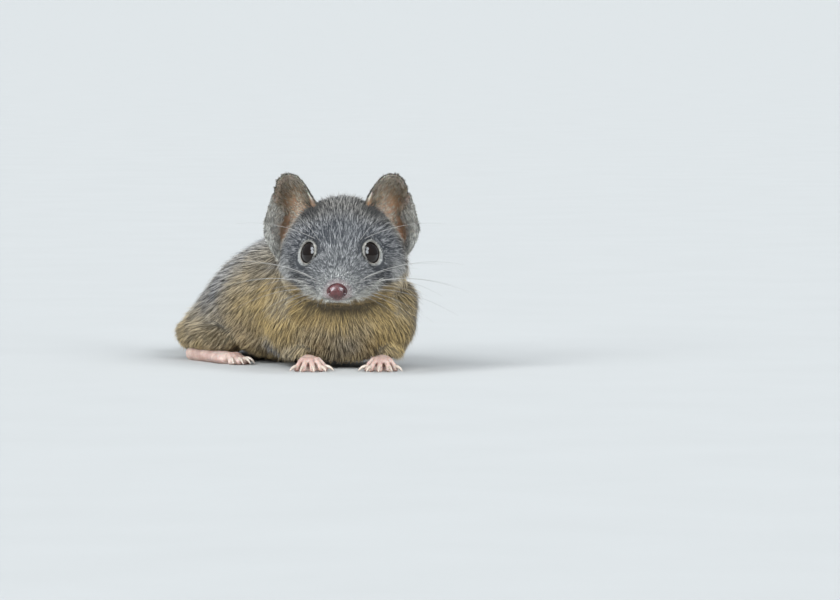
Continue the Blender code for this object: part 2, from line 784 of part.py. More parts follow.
def tail_pieces():
    """The tail as lengths that follow one curve, a gap apart."""
    count = len(TAIL_LENGTHS) * RINGS_PER_TAIL_LENGTH + 1
    rows = smooth_rows(TAIL_STATIONS, count)
    nodes = []
    for k, name in enumerate(TAIL_LENGTHS):
        part = rows[k * RINGS_PER_TAIL_LENGTH : (k + 1) * RINGS_PER_TAIL_LENGTH + 1]
        part = part.copy()
        tangent = unit(part[1, :3] - part[0, :3])
        part[0, :3] += tangent * GAP
        blunt = 0.0 if k < len(TAIL_LENGTHS) - 1 else 1.0
        nodes.append(tail_length(name, part, blunt))
    return nodes


def tail_length(name, part, blunt):
    """One length of the tail, flat at its ends apart from the rounded tip."""
    tangents = unit(np.gradient(part[:, :3], axis=0))
    across = unit(np.cross(tangents, (0, 0, 1)))
    upward = np.cross(across, tangents)
    angles = np.linspace(0, 2 * np.pi, TAIL_SIDES, endpoint=False)
    radii = part[:, 3:4]
    rings = (
        part[:, None, :3]
        + (radii * np.cos(angles))[..., None] * across[:, None]
        + (radii * np.sin(angles))[..., None] * upward[:, None]
    )
    end = part[-1, :3] + tangents[-1] * radii[-1] * blunt
    return loft(name, rings, part[0, :3], end)


def material(name, colour, roughness):
    """A plain surface of one colour."""
    made = bpy.data.materials.new(name)
    made.use_nodes = True
    shader = made.node_tree.nodes["Principled BSDF"]
    shader.inputs["Base Color"].default_value = (*colour, 1.0)
    shader.inputs["Roughness"].default_value = roughness
    shader.inputs["Metallic"].default_value = 0.0
    made.diffuse_color = (*colour, 1.0)
    return made


def finishes():
    """Each node's material by the start of its name."""
    grey = material("grizzled_coat", COAT_GREY, 0.9)
    ochre = material("ochre_coat", COAT_OCHRE, 0.9)
    pink = material("bare_skin", SKIN_PINK, 0.55)
    by_name = dict.fromkeys(("head", "neck", "jaw", "ear"), grey)
    by_name |= dict.fromkeys(("chest", "belly", "rump", "thigh", "upper_arm"), ochre)
    by_name |= dict.fromkeys(("forearm", "shank", "tail"), ochre)
    by_name |= dict.fromkeys(("hand", "foot"), pink)
    by_name["nose"] = material("nose_pad", NOSE_PINK, 0.35)
    by_name["eye"] = material("eye", EYE_BLACK, 0.05)
    by_name["tail_tip"] = material("tail_tip", TAIL_BLACK, 0.9)
    return by_name


def finish_of(name, by_name):
    """The material whose key is the longest start of the node's name."""
    keys = [key for key in by_name if name.startswith(key)]
    return by_name[max(keys, key=len)]


def clear_of(obj, *growers):
    """Cuts a piece back from neighbours, each given as a maker of its grown shape."""
    return cut(obj, *[grower() for grower in growers])


def build_nodes():
    """Every node of the animal, in millimetres and in its working place."""
    flesh = flesh_form()
    flesh = fuse("flesh", [flesh, lids("left"), lids("right")])
    nodes = [cut(nose(), *nose_cutters())]
    tools = [nose(GAP)]
    tail = tail_pieces()
    around = flesh_form(GAP)
    keep_largest(boolean(tail[0], around, "DIFFERENCE"))
    for side in SIDES:
        cupped = keep_largest(boolean(ear(side), around, "DIFFERENCE"))
        nodes += [cupped, eye(side), hand(side), foot(side)]
        arm = clear_of(forearm(side), lambda s=side: hand(s, GAP))
        leg = clear_of(shank(side), lambda s=side: foot(s, GAP))
        nodes += [arm, leg]
        tools += [eye(side, GAP), hand(side, GAP), foot(side, GAP)]
        tools += [forearm(side, GAP), shank(side, GAP)]
    discard(around)
    cut(flesh, *tools)
    floor = block("floor", (-60, -20, -30), (60, 130, 0.0))
    parts = split_flesh(flesh)
    head = next(part for part in parts if part.name == "head")
    parts.remove(head)
    head = fuse("head", [head, *whiskers("left"), *whiskers("right")])
    nodes += parts + tail + [head]
    for node in nodes:
        boolean(node, floor, "DIFFERENCE")
        keep_largest(node)
    discard(floor)
    return nodes


def place_nodes(nodes):
    """Scales the meshes to metres under an empty that centres them on their footprint."""
    corners = np.array([v.co for node in nodes for v in node.data.vertices])
    middle = (corners.min(axis=0) + corners.max(axis=0)) / 2
    bottom = corners[:, 2].min()
    stance = bpy.data.objects.new("stance", None)
    animal = bpy.data.collections.new("antechinus")
    bpy.context.scene.collection.children.link(animal)
    animal.objects.link(stance)
    shift = Vector((middle[0], middle[1], bottom)) * METRES_PER_MM
    stance.location = -shift
    by_name = finishes()
    for node in nodes:
        node.data.transform(Matrix.Scale(METRES_PER_MM, 4))
        node.data.materials.clear()
        node.data.materials.append(finish_of(node.name, by_name))
        node.data.shade_smooth()
        node.data.set_sharp_from_angle(angle=math.radians(50))
        bpy.context.scene.collection.objects.unlink(node)
        animal.objects.link(node)
        node.parent = stance


def main():
    for obj in list(bpy.data.objects):
        bpy.data.objects.remove(obj)
    place_nodes(build_nodes())


if __name__ == "__main__":
    main()
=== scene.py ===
"""The looks of a crouching antechinus: skin, coat, ears, eyes, nose, hands, feet and whiskers.

Lengths are millimetres in the animal's working frame: the origin lies on the floor under the
nose, the head looks along -Y, +X is the animal's left and +Z is up. `Stance` carries finished
points to the frame of the solids, in metres.
"""

import logging
import math
from dataclasses import dataclass, field
from enum import Enum
from typing import NamedTuple, Sequence

import bmesh
import bpy
import numpy as np
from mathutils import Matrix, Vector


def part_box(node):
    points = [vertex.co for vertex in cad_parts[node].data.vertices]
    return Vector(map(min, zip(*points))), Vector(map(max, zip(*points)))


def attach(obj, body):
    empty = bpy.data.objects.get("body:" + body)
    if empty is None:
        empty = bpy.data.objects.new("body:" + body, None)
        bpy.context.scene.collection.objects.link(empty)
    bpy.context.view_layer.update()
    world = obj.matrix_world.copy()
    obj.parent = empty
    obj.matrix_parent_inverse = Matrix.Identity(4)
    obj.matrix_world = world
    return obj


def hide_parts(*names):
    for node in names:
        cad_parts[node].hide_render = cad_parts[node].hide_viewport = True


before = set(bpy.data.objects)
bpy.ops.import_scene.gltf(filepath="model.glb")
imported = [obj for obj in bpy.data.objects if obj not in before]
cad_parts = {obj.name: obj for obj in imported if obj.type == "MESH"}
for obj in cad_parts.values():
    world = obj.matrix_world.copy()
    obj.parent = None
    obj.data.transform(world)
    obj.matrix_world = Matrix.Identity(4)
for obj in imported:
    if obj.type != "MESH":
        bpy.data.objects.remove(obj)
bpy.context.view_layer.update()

Array = np.ndarray
Triple = tuple[float, float, float]
Rng = np.random.Generator
Material = bpy.types.Material
Mesh = bpy.types.Mesh
Object = bpy.types.Object
Node = bpy.types.Node
NodeTree = bpy.types.NodeTree
Socket = bpy.types.NodeSocket
LOG = logging.getLogger("antechinus")
METRES_PER_MM = 0.001
BODY = "root"
BAKE_MAP = "OFBake"
HAIR_PATCH = 0.003  # width of one hair's patch on the bake map


class Side(Enum):
    """The animal's own left and right, with the sign of +X."""

    LEFT = 1.0
    RIGHT = -1.0

    @property
    def label(self) -> str:
        """The side's word in node names."""
        return self.name.lower()


# Numbers


def unit(vectors: Array) -> Array:
    """Vectors at length one."""
    vectors = np.asarray(vectors, float)
    return vectors / np.maximum(np.linalg.norm(vectors, axis=-1, keepdims=True), 1e-12)


def along_skin(ways: Array, normals: Array) -> Array:
    """Directions without their parts along the normals, at length one."""
    return unit(ways - (ways * normals).sum(axis=1, keepdims=True) * normals)


def ease(low: float, high: float, x: Array) -> Array:
    """A ramp from 0 at low to 1 at high with level ends: 3f^2 - 2f^3."""
    f = np.clip((np.asarray(x, float) - low) / (high - low), 0.0, 1.0)
    return f * f * (3.0 - 2.0 * f)


def bell(x: Array, width: float) -> Array:
    """A bell curve exp(-(x / width)^2)."""
    return np.exp(-((np.asarray(x, float) / width) ** 2))


def spot(points: Array, centre: Sequence[float], width: float) -> Array:
    """A bell curve of the distance from a centre."""
    return bell(np.linalg.norm(points - np.array(centre), axis=1), width)


def square_gaps(points: Array, others: Array) -> Array:
    """The squared distance from each point to each of the others."""
    return ((points[:, None, :] - others[None]) ** 2).sum(axis=2)


def smooth_rows(rows: Sequence, count: int) -> Array:
    """A Catmull-Rom curve through rows of numbers, every column alike.

    Args:
        rows: The rows that the curve passes through.
        count: How many rows to return, evenly spaced in the curve's parameter.

    Returns:
        The rows on the curve.
    """
    rows = np.asarray(rows, float)
    padded = np.vstack((2 * rows[0] - rows[1], rows, 2 * rows[-1] - rows[-2]))
    along = np.linspace(0, len(rows) - 1, count)
    first = np.minimum(along.astype(int), len(rows) - 2)
    f = (along - first)[:, None]
    p0, p1, p2, p3 = (padded[first + k] for k in range(4))
    return 0.5 * (
        2 * p1
        + (p2 - p0) * f
        + (2 * p0 - 5 * p1 + 4 * p2 - p3) * f**2
        + (3 * p1 - p0 - 3 * p2 + p3) * f**3
    )


def ripple(points: Array, scale: float, seed: float = 0.0) -> Array:
    """Smooth wandering values between about -1 and 1 in space.

    The value is a sum of three products of sines whose directions aren't aligned.

    Args:
        points: Places, in millimetres.
        scale: The size of one swell, in millimetres.
        seed: Shifts the pattern.

    Returns:
        One value for each place.
    """
    x, y, z = (points[..., k] / scale for k in range(3))
    first = np.sin(1.7 * x + 0.9 * y + seed) * np.cos(1.3 * z - 0.7 * x + 2 * seed)
    second = np.sin(2.3 * y - 1.1 * z + 3 * seed) * np.cos(2.1 * x + 0.8 * z)
    third = np.sin(3.1 * z + 1.9 * x - seed) * np.cos(2.7 * y - 1.4 * x)
    return (first + second + 0.7 * third) / 1.7


# Frames


@dataclass(frozen=True)
class HeadAxes:
    """The head's frame: out to the animal's left, back from the nose, and up."""

    nose: Triple = (0.0, 0.0, 14.6)
    yaw: float = math.radians(1.6)
    pitch: float = math.radians(7.0)

    def rows(self) -> Array:
        """The three axes, out, back and up, as rows in the working frame.

        Returns:
            One row for each axis.
        """
        sin_yaw, cos_yaw = math.sin(self.yaw), math.cos(self.yaw)
        sin_pitch, cos_pitch = math.sin(self.pitch), math.cos(self.pitch)
        out = np.array((cos_yaw, -sin_yaw, 0.0))
        back = np.array((sin_yaw * cos_pitch, cos_yaw * cos_pitch, sin_pitch))
        return np.array((out, back, np.cross(out, back)))

    def place(self, out: Array, back: Array, up: Array) -> Array:
        """Carries head coordinates to the working frame."""
        local = np.stack(np.broadcast_arrays(out, back, up), axis=-1)
        return np.array(self.nose) + local @ self.rows()

    def read(self, points: Array) -> tuple[Array, Array, Array]:
        """Reads out, back and up of points in the working frame."""
        local = (points - np.array(self.nose)) @ self.rows().T
        return local[..., 0], local[..., 1], local[..., 2]


HEAD = HeadAxes()


@dataclass(frozen=True)
class EyePlace:
    """Where an eyeball sits, and which way it looks."""

    radius: float = 2.45
    centre: Triple = (4.3, 13.6, 4.35)
    turn: float = math.radians(48.0)
    tilt: float = math.radians(17.0)
    # degrees round the gaze, distance from it
    reach: tuple = (
        (0.0, 2.1), (45.0, 2.04), (90.0, 2.04), (135.0, 2.1), (165.0, 2.35), (190.0, 2.65),
        (215.0, 2.85), (240.0, 2.7), (270.0, 2.3), (300.0, 2.05), (330.0, 2.05),
    )

    def middle(self, side: Side) -> Array:
        """The eyeball's centre."""
        out, back, up = self.centre
        return HEAD.place(side.value * out, back, up)

    def axes(self, side: Side) -> Array:
        """Rows: across towards the outer side of the gaze, upward, and the gaze itself.

        Args:
            side: The animal's left or right.

        Returns:
            One row for each axis.
        """
        out, back, up = HEAD.rows()
        gaze = (
            side.value * math.sin(self.turn) * math.cos(self.tilt) * out
            - math.cos(self.turn) * math.cos(self.tilt) * back
            + math.sin(self.tilt) * up
        )
        across = unit(np.cross(up, gaze))
        return np.array((across, np.cross(gaze, across), gaze))

    def polar(self, side: Side, points: Array) -> tuple[Array, Array, Array]:
        """Distance from the gaze axis, height along it and angle round it.

        Args:
            side: Which eye.
            points: Points in the working frame.

        Returns:
            Radius, height and angle. The angle is 0 towards the nose and a quarter turn upwards.
        """
        local = (points - self.middle(side)) @ self.axes(side).T
        inward = -side.value * local[..., 0]
        return (
            np.hypot(local[..., 0], local[..., 1]),
            local[..., 2],
            np.arctan2(local[..., 1], inward),
        )

    def ring(self, angle: Array) -> Array:
        """How far the pale ring reaches from the gaze axis at an angle round it."""
        turns, reach = zip(*self.reach)
        return np.interp(np.degrees(angle), turns, reach, period=360.0)


EYE = EyePlace()


class Stance:
    """Carries working points to the frame of the solids.

    The shift is read from the two eyeballs' boxes, whose centres the working frame knows.
    """

    def __init__(self) -> None:
        """Reads the shift from the boxes of the eyeballs."""
        boxes = [np.array(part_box(f"eye_{side.label}")) for side in Side]
        seen = np.mean([box.mean(axis=0) for box in boxes], axis=0)
        known = np.mean([EYE.middle(side) for side in Side], axis=0)
        self.shift = seen - known * METRES_PER_MM

    def carry(self, points: Array) -> Array:
        """Working points, in millimetres, as points of the solids' frame in metres."""
        return points * METRES_PER_MM + self.shift


STANCE = Stance()


# Surfaces


@dataclass
class Surface:
    """Points with their four-sided and three-sided faces."""

    points: Array
    quads: Array = field(default_factory=lambda: np.zeros((0, 4), int))
    tris: Array = field(default_factory=lambda: np.zeros((0, 3), int))

    def fan(self) -> Array:
        """All faces as triangles."""
        split = np.vstack((self.quads[:, [0, 1, 2]], self.quads[:, [0, 2, 3]]))
        return np.vstack((split, self.tris)).astype(int)

    def outward(self) -> "Surface":
        """Turns the faces outwards, by the sign of the volume they enclose.

        Returns:
            The surface itself.
        """
        a, b, c = (self.points[self.fan()[:, k]] for k in range(3))
        if np.einsum("ij,ij->", a, np.cross(b, c)) < 0:
            self.quads = self.quads[:, ::-1]
            self.tris = self.tris[:, ::-1]
        return self

    def mesh(self, name: str) -> Mesh:
        """A Blender mesh in the solids' frame."""
        return fill_mesh(name, STANCE.carry(self.points), self.quads, self.tris)


def fill_mesh(name: str, points: Array, quads: Array, tris: Array) -> Mesh:
    """Puts whole arrays into a mesh.

    Args:
        name: The mesh's name.
        points: Its points.
        quads: Rows of four corners.
        tris: Rows of three corners.

    Returns:
        The mesh.
    """
    mesh = bpy.data.meshes.new(name)
    corners = np.concatenate((quads.ravel(), tris.ravel())).astype(np.int32)
    starts = np.concatenate(
        (np.arange(len(quads)) * 4, len(quads) * 4 + np.arange(len(tris)) * 3)
    )
    mesh.vertices.add(len(points))
    mesh.vertices.foreach_set("co", np.ascontiguousarray(points, np.float32).ravel())
    mesh.loops.add(len(corners))
    mesh.loops.foreach_set("vertex_index", corners)
    mesh.polygons.add(len(starts))
    mesh.polygons.foreach_set("loop_start", starts.astype(np.int32))
    mesh.update(calc_edges=True)
    mesh.shade_smooth()
    return mesh


def new_object(name: str, data: bpy.types.ID) -> Object:
    """An object in the scene.

    Args:
        name: The object's name.
        data: Its mesh, light or camera.

    Returns:
        The object.
    """
    obj = bpy.data.objects.new(name, data)
    bpy.context.scene.collection.objects.link(obj)
    return obj


def join(surfaces: Sequence[Surface]) -> Surface:
    """Several surfaces as one, with their corners renumbered.

    Args:
        surfaces: The surfaces.

    Returns:
        The one surface.
    """
    starts = np.cumsum([0] + [len(s.points) for s in surfaces[:-1]])
    return Surface(
        np.vstack([s.points for s in surfaces]),
        np.vstack([s.quads + start for s, start in zip(surfaces, starts)]),
        np.vstack([s.tris + start for s, start in zip(surfaces, starts)]),
    )


def grid_quads(rows: int, columns: int, wrap_rows: bool, wrap_columns: bool) -> Array:
    """Faces of a grid of points whose rows or columns may close on themselves.

    Args:
        rows: How many rows of points.
        columns: How many points in a row.
        wrap_rows: Whether the last row joins the first.
        wrap_columns: Whether the last point of a row joins its first.

    Returns:
        Rows of four corners.
    """
    i, j = np.meshgrid(
        np.arange(rows if wrap_rows else rows - 1),
        np.arange(columns if wrap_columns else columns - 1),
        indexing="ij",
    )
    n, m = (i + 1) % rows, (j + 1) % columns
    corners = (i * columns + j, i * columns + m, n * columns + m, n * columns + j)
    return np.stack([c.ravel() for c in corners], axis=1)


def closed_loft(rings: Array, start: Array, end: Array) -> Surface:
    """A closed skin over rings of points, with a pole at each end.

    Args:
        rings: Points of shape (rings, sides, 3).
        start: The first pole.
        end: The last pole.

    Returns:
        The surface, facing outwards.
    """
    count, sides = rings.shape[:2]
    points = np.vstack((rings.reshape(-1, 3), start, end))
    k = np.arange(sides)
    n = (k + 1) % sides
    row = (count - 1) * sides
    first = np.stack((n, k, np.full(sides, count * sides)), axis=1)
    last = np.stack((k + row, n + row, np.full(sides, count * sides + 1)), axis=1)
    quads = grid_quads(count, sides, False, True)
    return Surface(points, quads, np.vstack((first, last))).outward()


def tube(rows: Array, sides: int, blunt: float = 0.6, taper: float = 0.0) -> Surface:
    """A tube with elliptical sections, carried along a path.

    A section's points are centre + w cos(q) (1 - taper sin(q)) across + h sin(q) upward.

    Args:
        rows: x, y, z, half width and half height along the path. Without a fifth number the
            section is round.
        sides: Points in a section.
        blunt: How far the poles stand out, in section heights.
        taper: How much narrower the top of a section is than its middle.

    Returns:
        The closed tube.
    """
    centres = rows[:, :3]
    tangents = unit(np.gradient(centres, axis=0))
    across = unit(np.cross(tangents, (0.0, 0.0, 1.0)))
    upward = np.cross(across, tangents)
    q = np.linspace(0, 2 * np.pi, sides, endpoint=False)
    wide, high = rows[:, 3:4], rows[:, -1:]
    rings = (
        centres[:, None]
        + (wide * np.cos(q) * (1 - taper * np.sin(q)))[..., None] * across[:, None]
        + (high * np.sin(q))[..., None] * upward[:, None]
    )
    start = centres[0] - tangents[0] * high[0] * blunt
    end = centres[-1] + tangents[-1] * high[-1] * blunt
    return closed_loft(rings, start, end)


def ball_rings(rings: int, sides: int) -> tuple[Array, Array, Array]:
    """Directions over a ball: rings about its third axis, and the two poles.

    Args:
        rings: Rings between the poles.
        sides: Points in a ring.

    Returns:
        Unit directions of shape (rings, sides, 3), the first pole and the last pole.
    """
    polar = np.linspace(0, np.pi, rings + 2)[1:-1, None]
    turn = np.linspace(0, 2 * np.pi, sides, endpoint=False)[None, :]
    grid = np.stack(
        (np.sin(polar) * np.cos(turn), np.sin(polar) * np.sin(turn), np.cos(polar) + 0 * turn),
        axis=-1,
    )
    return grid, np.array((0.0, 0.0, 1.0)), np.array((0.0, 0.0, -1.0))


def ball(centre: Array, radii: Sequence[float], axes: Array | None = None) -> Surface:
    """A ball stretched to three radii along the rows of axes.

    Args:
        centre: Its middle.
        radii: Its radius along each axis.
        axes: Three unit rows, or None for x, y and z.

    Returns:
        The closed ball.
    """
    axes = np.identity(3) if axes is None else axes
    grid, first, last = ball_rings(24, 40)
    shape = [(d * np.array(radii)) @ axes + np.array(centre) for d in (grid, first, last)]
    return closed_loft(*shape)


def fused(name: str, shells: Sequence[Surface], voxel: float, relax: int) -> Object:
    """One skin round overlapping closed shells, evened out by averaging neighbours.

    Args:
        name: The object's name.
        shells: Closed surfaces that overlap.
        voxel: Size of a face, in millimetres.
        relax: Rounds in which each point moves halfway to the mean of its neighbours.

    Returns:
        An object in working millimetres.
    """
    whole = join(shells)
    mesh = fill_mesh(name, whole.points, whole.quads, whole.tris)
    obj = new_object(name, mesh)
    remesh = obj.modifiers.new("fuse", "REMESH")
    remesh.mode = "VOXEL"
    remesh.voxel_size = voxel
    graph = bpy.context.evaluated_depsgraph_get()
    result = bpy.data.meshes.new_from_object(obj.evaluated_get(graph))
    obj.modifiers.clear()
    obj.data = result
    points = read_points(result)
    write_points(result, relaxed(points, edge_pairs(result), relax))
    return obj


def read_points(mesh: Mesh) -> Array:
    """A mesh's points.

    Args:
        mesh: The mesh.

    Returns:
        One row of three numbers for each point.
    """
    points = np.empty(len(mesh.vertices) * 3, np.float32)
    mesh.vertices.foreach_get("co", points)
    return points.reshape(-1, 3).astype(float)


def write_points(mesh: Mesh, points: Array) -> None:
    """Moves a mesh's points."""
    mesh.vertices.foreach_set("co", np.ascontiguousarray(points, np.float32).ravel())
    mesh.update()


def edge_pairs(mesh: Mesh) -> Array:
    """The two points of each edge.

    Args:
        mesh: The mesh.

    Returns:
        One row of two point numbers for each edge.
    """
    pairs = np.empty(len(mesh.edges) * 2, np.int32)
    mesh.edges.foreach_get("vertices", pairs)
    return pairs.reshape(-1, 2)


def neighbour_mean(values: Array, pairs: Array) -> Array:
    """The mean over each point's neighbours along the edges.

    Args:
        values: One row for each point.
        pairs: The two points of each edge.

    Returns:
        The means, one row for each point.
    """
    count = len(values)
    here = np.concatenate((pairs[:, 0], pairs[:, 1]))
    there = np.concatenate((pairs[:, 1], pairs[:, 0]))
    total = np.maximum(np.bincount(here, minlength=count), 1)
    columns = [
        np.bincount(here, weights=values[there, k], minlength=count) / total
        for k in range(values.shape[1])
    ]
    return np.stack(columns, axis=1)


def read_grid(grid: Array, row: Array, column: Array) -> Array:
    """A grid's values between its points.

    Args:
        grid: Values of shape (rows, columns, 3).
        row: Places down the rows, with fractions.
        column: Places along the columns, with fractions.

    Returns:
        One row of three numbers for each place.
    """
    i = np.minimum(row.astype(int), grid.shape[0] - 2)
    j = np.minimum(column.astype(int), grid.shape[1] - 2)
    fi, fj = (row - i)[:, None], (column - j)[:, None]
    top = grid[i, j] * (1 - fj) + grid[i, j + 1] * fj
    low = grid[i + 1, j] * (1 - fj) + grid[i + 1, j + 1] * fj
    return top * (1 - fi) + low * fi


def relaxed(points: Array, pairs: Array, rounds: int) -> Array:
    """Points moved halfway to their neighbours' mean, round after round.

    Args:
        points: The points.
        pairs: The two points of each edge.
        rounds: How many rounds.

    Returns:
        The moved points.
    """
    for _ in range(rounds):
        points = points + 0.5 * (neighbour_mean(points, pairs) - points)
    return points


def point_normals(mesh: Mesh) -> Array:
    """A mesh's normals at its points.

    Args:
        mesh: The mesh.

    Returns:
        One row for each point.
    """
    normals = np.empty(len(mesh.vertices) * 3, np.float32)
    mesh.vertex_normals.foreach_get("vector", normals)
    return normals.reshape(-1, 3).astype(float)


def paint(mesh: Mesh, name: str, values: Array) -> None:
    """Stores four numbers for each point, for the materials to read."""
    layer = mesh.color_attributes.new(name, "FLOAT_COLOR", "POINT")
    layer.data.foreach_set("color", np.ascontiguousarray(values, np.float32).ravel())


def settle(obj: Object, slot: str, *nodes: str) -> None:
    """Makes a piece ride on the body and stand for its nodes.

    Args:
        obj: The piece.
        slot: The slot's name; not used.
        nodes: The nodes of the solids that it stands for.
    """
    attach(obj, BODY)
    if nodes:
        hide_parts(*nodes)
    LOG.info("%s: %d points", obj.name, len(obj.data.vertices))


def piece(name: str, surface: Surface, finish: Material) -> Object:
    """An object for a surface, dressed in its finish.

    Args:
        name: The piece's name.
        surface: Its surface.
        finish: Its material.

    Returns:
        The object.
    """
    obj = new_object(name, surface.mesh(name))
    obj.data.materials.append(finish)
    return obj


# Markings and lie of the coat


@dataclass(frozen=True)
class Markings:
    """Where the coat is ochre, pale or dark, and where pink skin shows through.

    Every mask is a product or sum of ramps and bells over the place on the animal, so that skin
    and coat read the same pattern.
    """

    levels: tuple[float, ...] = (0.0, 3.0, 6.0, 9.0, 12.0, 15.0, 19.0, 30.0)
    flank: tuple[float, ...] = (1.0, 0.86, 0.64, 0.36, 0.16, 0.1, 0.06, 0.05)
    chest: tuple[float, ...] = (0.65, 0.65, 0.75, 0.85, 0.85, 0.7, 0.35, 0.12)
    # x, y, z, size, strength of the spots that are more ochre (or less)
    spots: tuple = (
        (7.5, 26.0, 8.5, 3.8, 0.6),
        (-9.5, 28.0, 10.0, 3.8, 0.5),
        (-11.5, 27.0, 14.5, 3.0, 0.4),
        (11.5, 27.0, 12.5, 2.6, 0.3),
        (0.3, 21.0, 6.0, 3.4, -0.25),
        # painted shade: less ochre on the left side behind the shoulder
        (13.8, 30.0, 11.0, 3.8, -0.8),
        (-10.8, 32.0, 3.3, 3.2, -0.75),
        (12.5, 34.0, 5.0, 3.2, -0.4),
    )

    def ochre(self, points: Array) -> Array:
        """Ochre low on the flanks and over chest and shoulders, none on the upper head.

        Args:
            points: Places in the working frame.

        Returns:
            One value from 0 to 1 for each place.
        """
        _, back, up = HEAD.read(points)
        y, z = points[:, 1], points[:, 2]
        flank = np.interp(z, self.levels, self.flank)
        chest = np.interp(z, self.levels, self.chest)
        body = flank + (chest - flank) * ease(44.0, 32.0, y)
        for *centre, size, strength in self.spots:
            body = body + strength * spot(points, centre, size)
        head = self.head(points)
        face = ease(0.5, -1.0, up - self.cheek_line(back)) * ease(5.0, 9.0, back)
        face = face + 0.16 * ease(13.0, 19.0, back) * ease(7.0, 10.0, up)
        tail = ease(76.0, 80.0, y)
        body = body * (1 - tail) + 0.35 * tail
        body = body + 0.12 * ripple(points, 2.6, 1.0)
        return np.clip(body * (1 - head) + face * head, 0, 1)

    def cheek_line(self, back: Array) -> Array:
        """The height in the head's frame where the grey face turns ochre."""
        return -2.9 + 0.165 * back

    def head(self, points: Array) -> Array:
        """One on the head, falling to zero over the neck.

        Args:
            points: Places in the working frame.

        Returns:
            One value from 0 to 1 for each place.
        """
        _, back, up = HEAD.read(points)
        lean = back + 0.45 * np.minimum(up, 0.0) + 0.12 * np.maximum(up, 0.0)
        return ease(26.5, 19.5, lean) * ease(-8.4, -5.4, up)

    def cheeks(self, points: Array) -> Array:
        """One on the cheeks, behind and below the eyes.

        Args:
            points: Places in the working frame.

        Returns:
            One value from 0 to 1 for each place.
        """
        out, back, up = HEAD.read(points)
        cheeks = ease(6.8, 8.6, abs(out)) * ease(12.5, 15.5, back)
        return cheeks * ease(4.5, 1.5, up) * self.head(points)

    def pale(self, points: Array) -> Array:
        """Pale hairs on the lips, the muzzle, the cheeks and round the eyes.

        Args:
            points: Places in the working frame.

        Returns:
            One value from 0 to 1 for each place.
        """
        _, back, up = HEAD.read(points)
        over = up - self.cheek_line(back)
        lips = 0.95 * ease(1.8, 0.6, over) * ease(13.0, 6.5, back) * ease(-1.4, -0.3, over)
        chin = 0.7 * ease(5.0, 3.0, back) * (up < 0.0)
        muzzle = 0.1 * ease(12.5, 8.0, back) + 0.35 * ease(6.0, 2.5, back)
        pale = np.maximum(np.maximum(lips, chin), muzzle)
        pale = np.maximum(pale, 0.35 * self.cheeks(points))
        for side in Side:
            radius, height, angle = EYE.polar(side, points)
            reach = EYE.ring(angle)
            ring = ease(reach + 0.15, reach - 0.15, radius) * (height > 0)
            pale = np.maximum(pale, ring)
        return np.clip(pale, 0, 1)

    def dark(self, points: Array) -> Array:
        """Dark hairs before the ears, on the whisker pads and on the tail's end, and painted shade under
        the lower lids, under the jaw and on the left side behind the shoulder.

        Args:
            points: Places in the working frame.

        Returns:
            One value from 0 to 1 for each place.
        """
        out, back, up = HEAD.read(points)
        ears = bell(abs(out) - 5.2, 2.2) * bell(back - 20.2, 2.8) * bell(up - 10.6, 2.3)
        pads = bell(abs(out) - 6.4, 1.4) * bell(back - 11.0, 2.2) * bell(up - 0.3, 1.0)
        before = bell(abs(out) - 4.2, 0.9) * bell(back - 10.6, 1.6) * bell(up - 2.2, 1.0)
        for side in Side:
            radius, height, angle = EYE.polar(side, points)
            # painted shadow under each lower lid: a dark line below the pale ring, and a dark wedge at
            # its inner lower corner
            line = bell(radius - EYE.ring(angle) - 0.5, 0.25) * ease(-0.2, -0.7, np.sin(angle))
            corner = bell(angle + 0.7, 0.4) * ease(3.4, 2.4, radius)
            before = np.maximum(before, 1.2 * (line + corner) * (height > 0))
        tail = ease(92.0, 101.0, points[:, 1]) + ease(-4.0, 4.0, points[:, 0])
        tail = np.clip(tail, 0, 1) * ease(74.0, 78.0, points[:, 1])
        crown = 0.22 * bell(out, 5.0) * ease(7.0, 11.0, up) * ease(30.0, 22.0, back)
        elbow = 0.3 * spot(points, (-10.8, 32.0, 3.3), 3.0)
        # painted shade on the left side behind the shoulder, where the side lies in shade; the ochre
        # spot at (13.8, 30.0, 11.0) is cut there too
        shoulder = 0.7 * spot(points, (13.8, 30.0, 11.5), 3.6)
        over = up - self.cheek_line(back)
        # painted shade under the jaw, below the cheek line
        chin = 0.4 * ease(-0.9, -1.8, over) * ease(20.0, 14.0, back) * (up > -7.0)
        under = 0.3 * bell(abs(out) - 6.2, 2.0) * bell(back - 12.0, 2.5) * bell(up - 0.8, 1.6)
        spots = ears + 0.55 * pads + 0.4 * before + crown + elbow + shoulder + chin + under
        upper = 0.2 * self.head(points) * ease(2.6, 5.0, back) * (over > 0.5)
        spots = spots + upper * (1 - self.cheeks(points))
        return np.clip(spots + 0.75 * tail, 0, 1)

    def pink(self, points: Array) -> Array:
        """Bare pinkish skin near the nose and on the lips.

        Args:
            points: Places in the working frame.

        Returns:
            One value from 0 to 1 for each place.
        """
        _, back, up = HEAD.read(points)
        muzzle = 0.7 * ease(3.2, 1.0, back)
        lips = bell(up + 1.5, 0.4) * ease(9.0, 6.0, back)
        return np.clip(muzzle + 0.6 * lips, 0, 1)

    def all(self, points: Array) -> Array:
        """Ochre, pale, dark and pink as four columns."""
        masks = (self.ochre(points), self.pale(points), self.dark(points), self.pink(points))
        return np.stack(masks, axis=1)


MARKS = Markings()


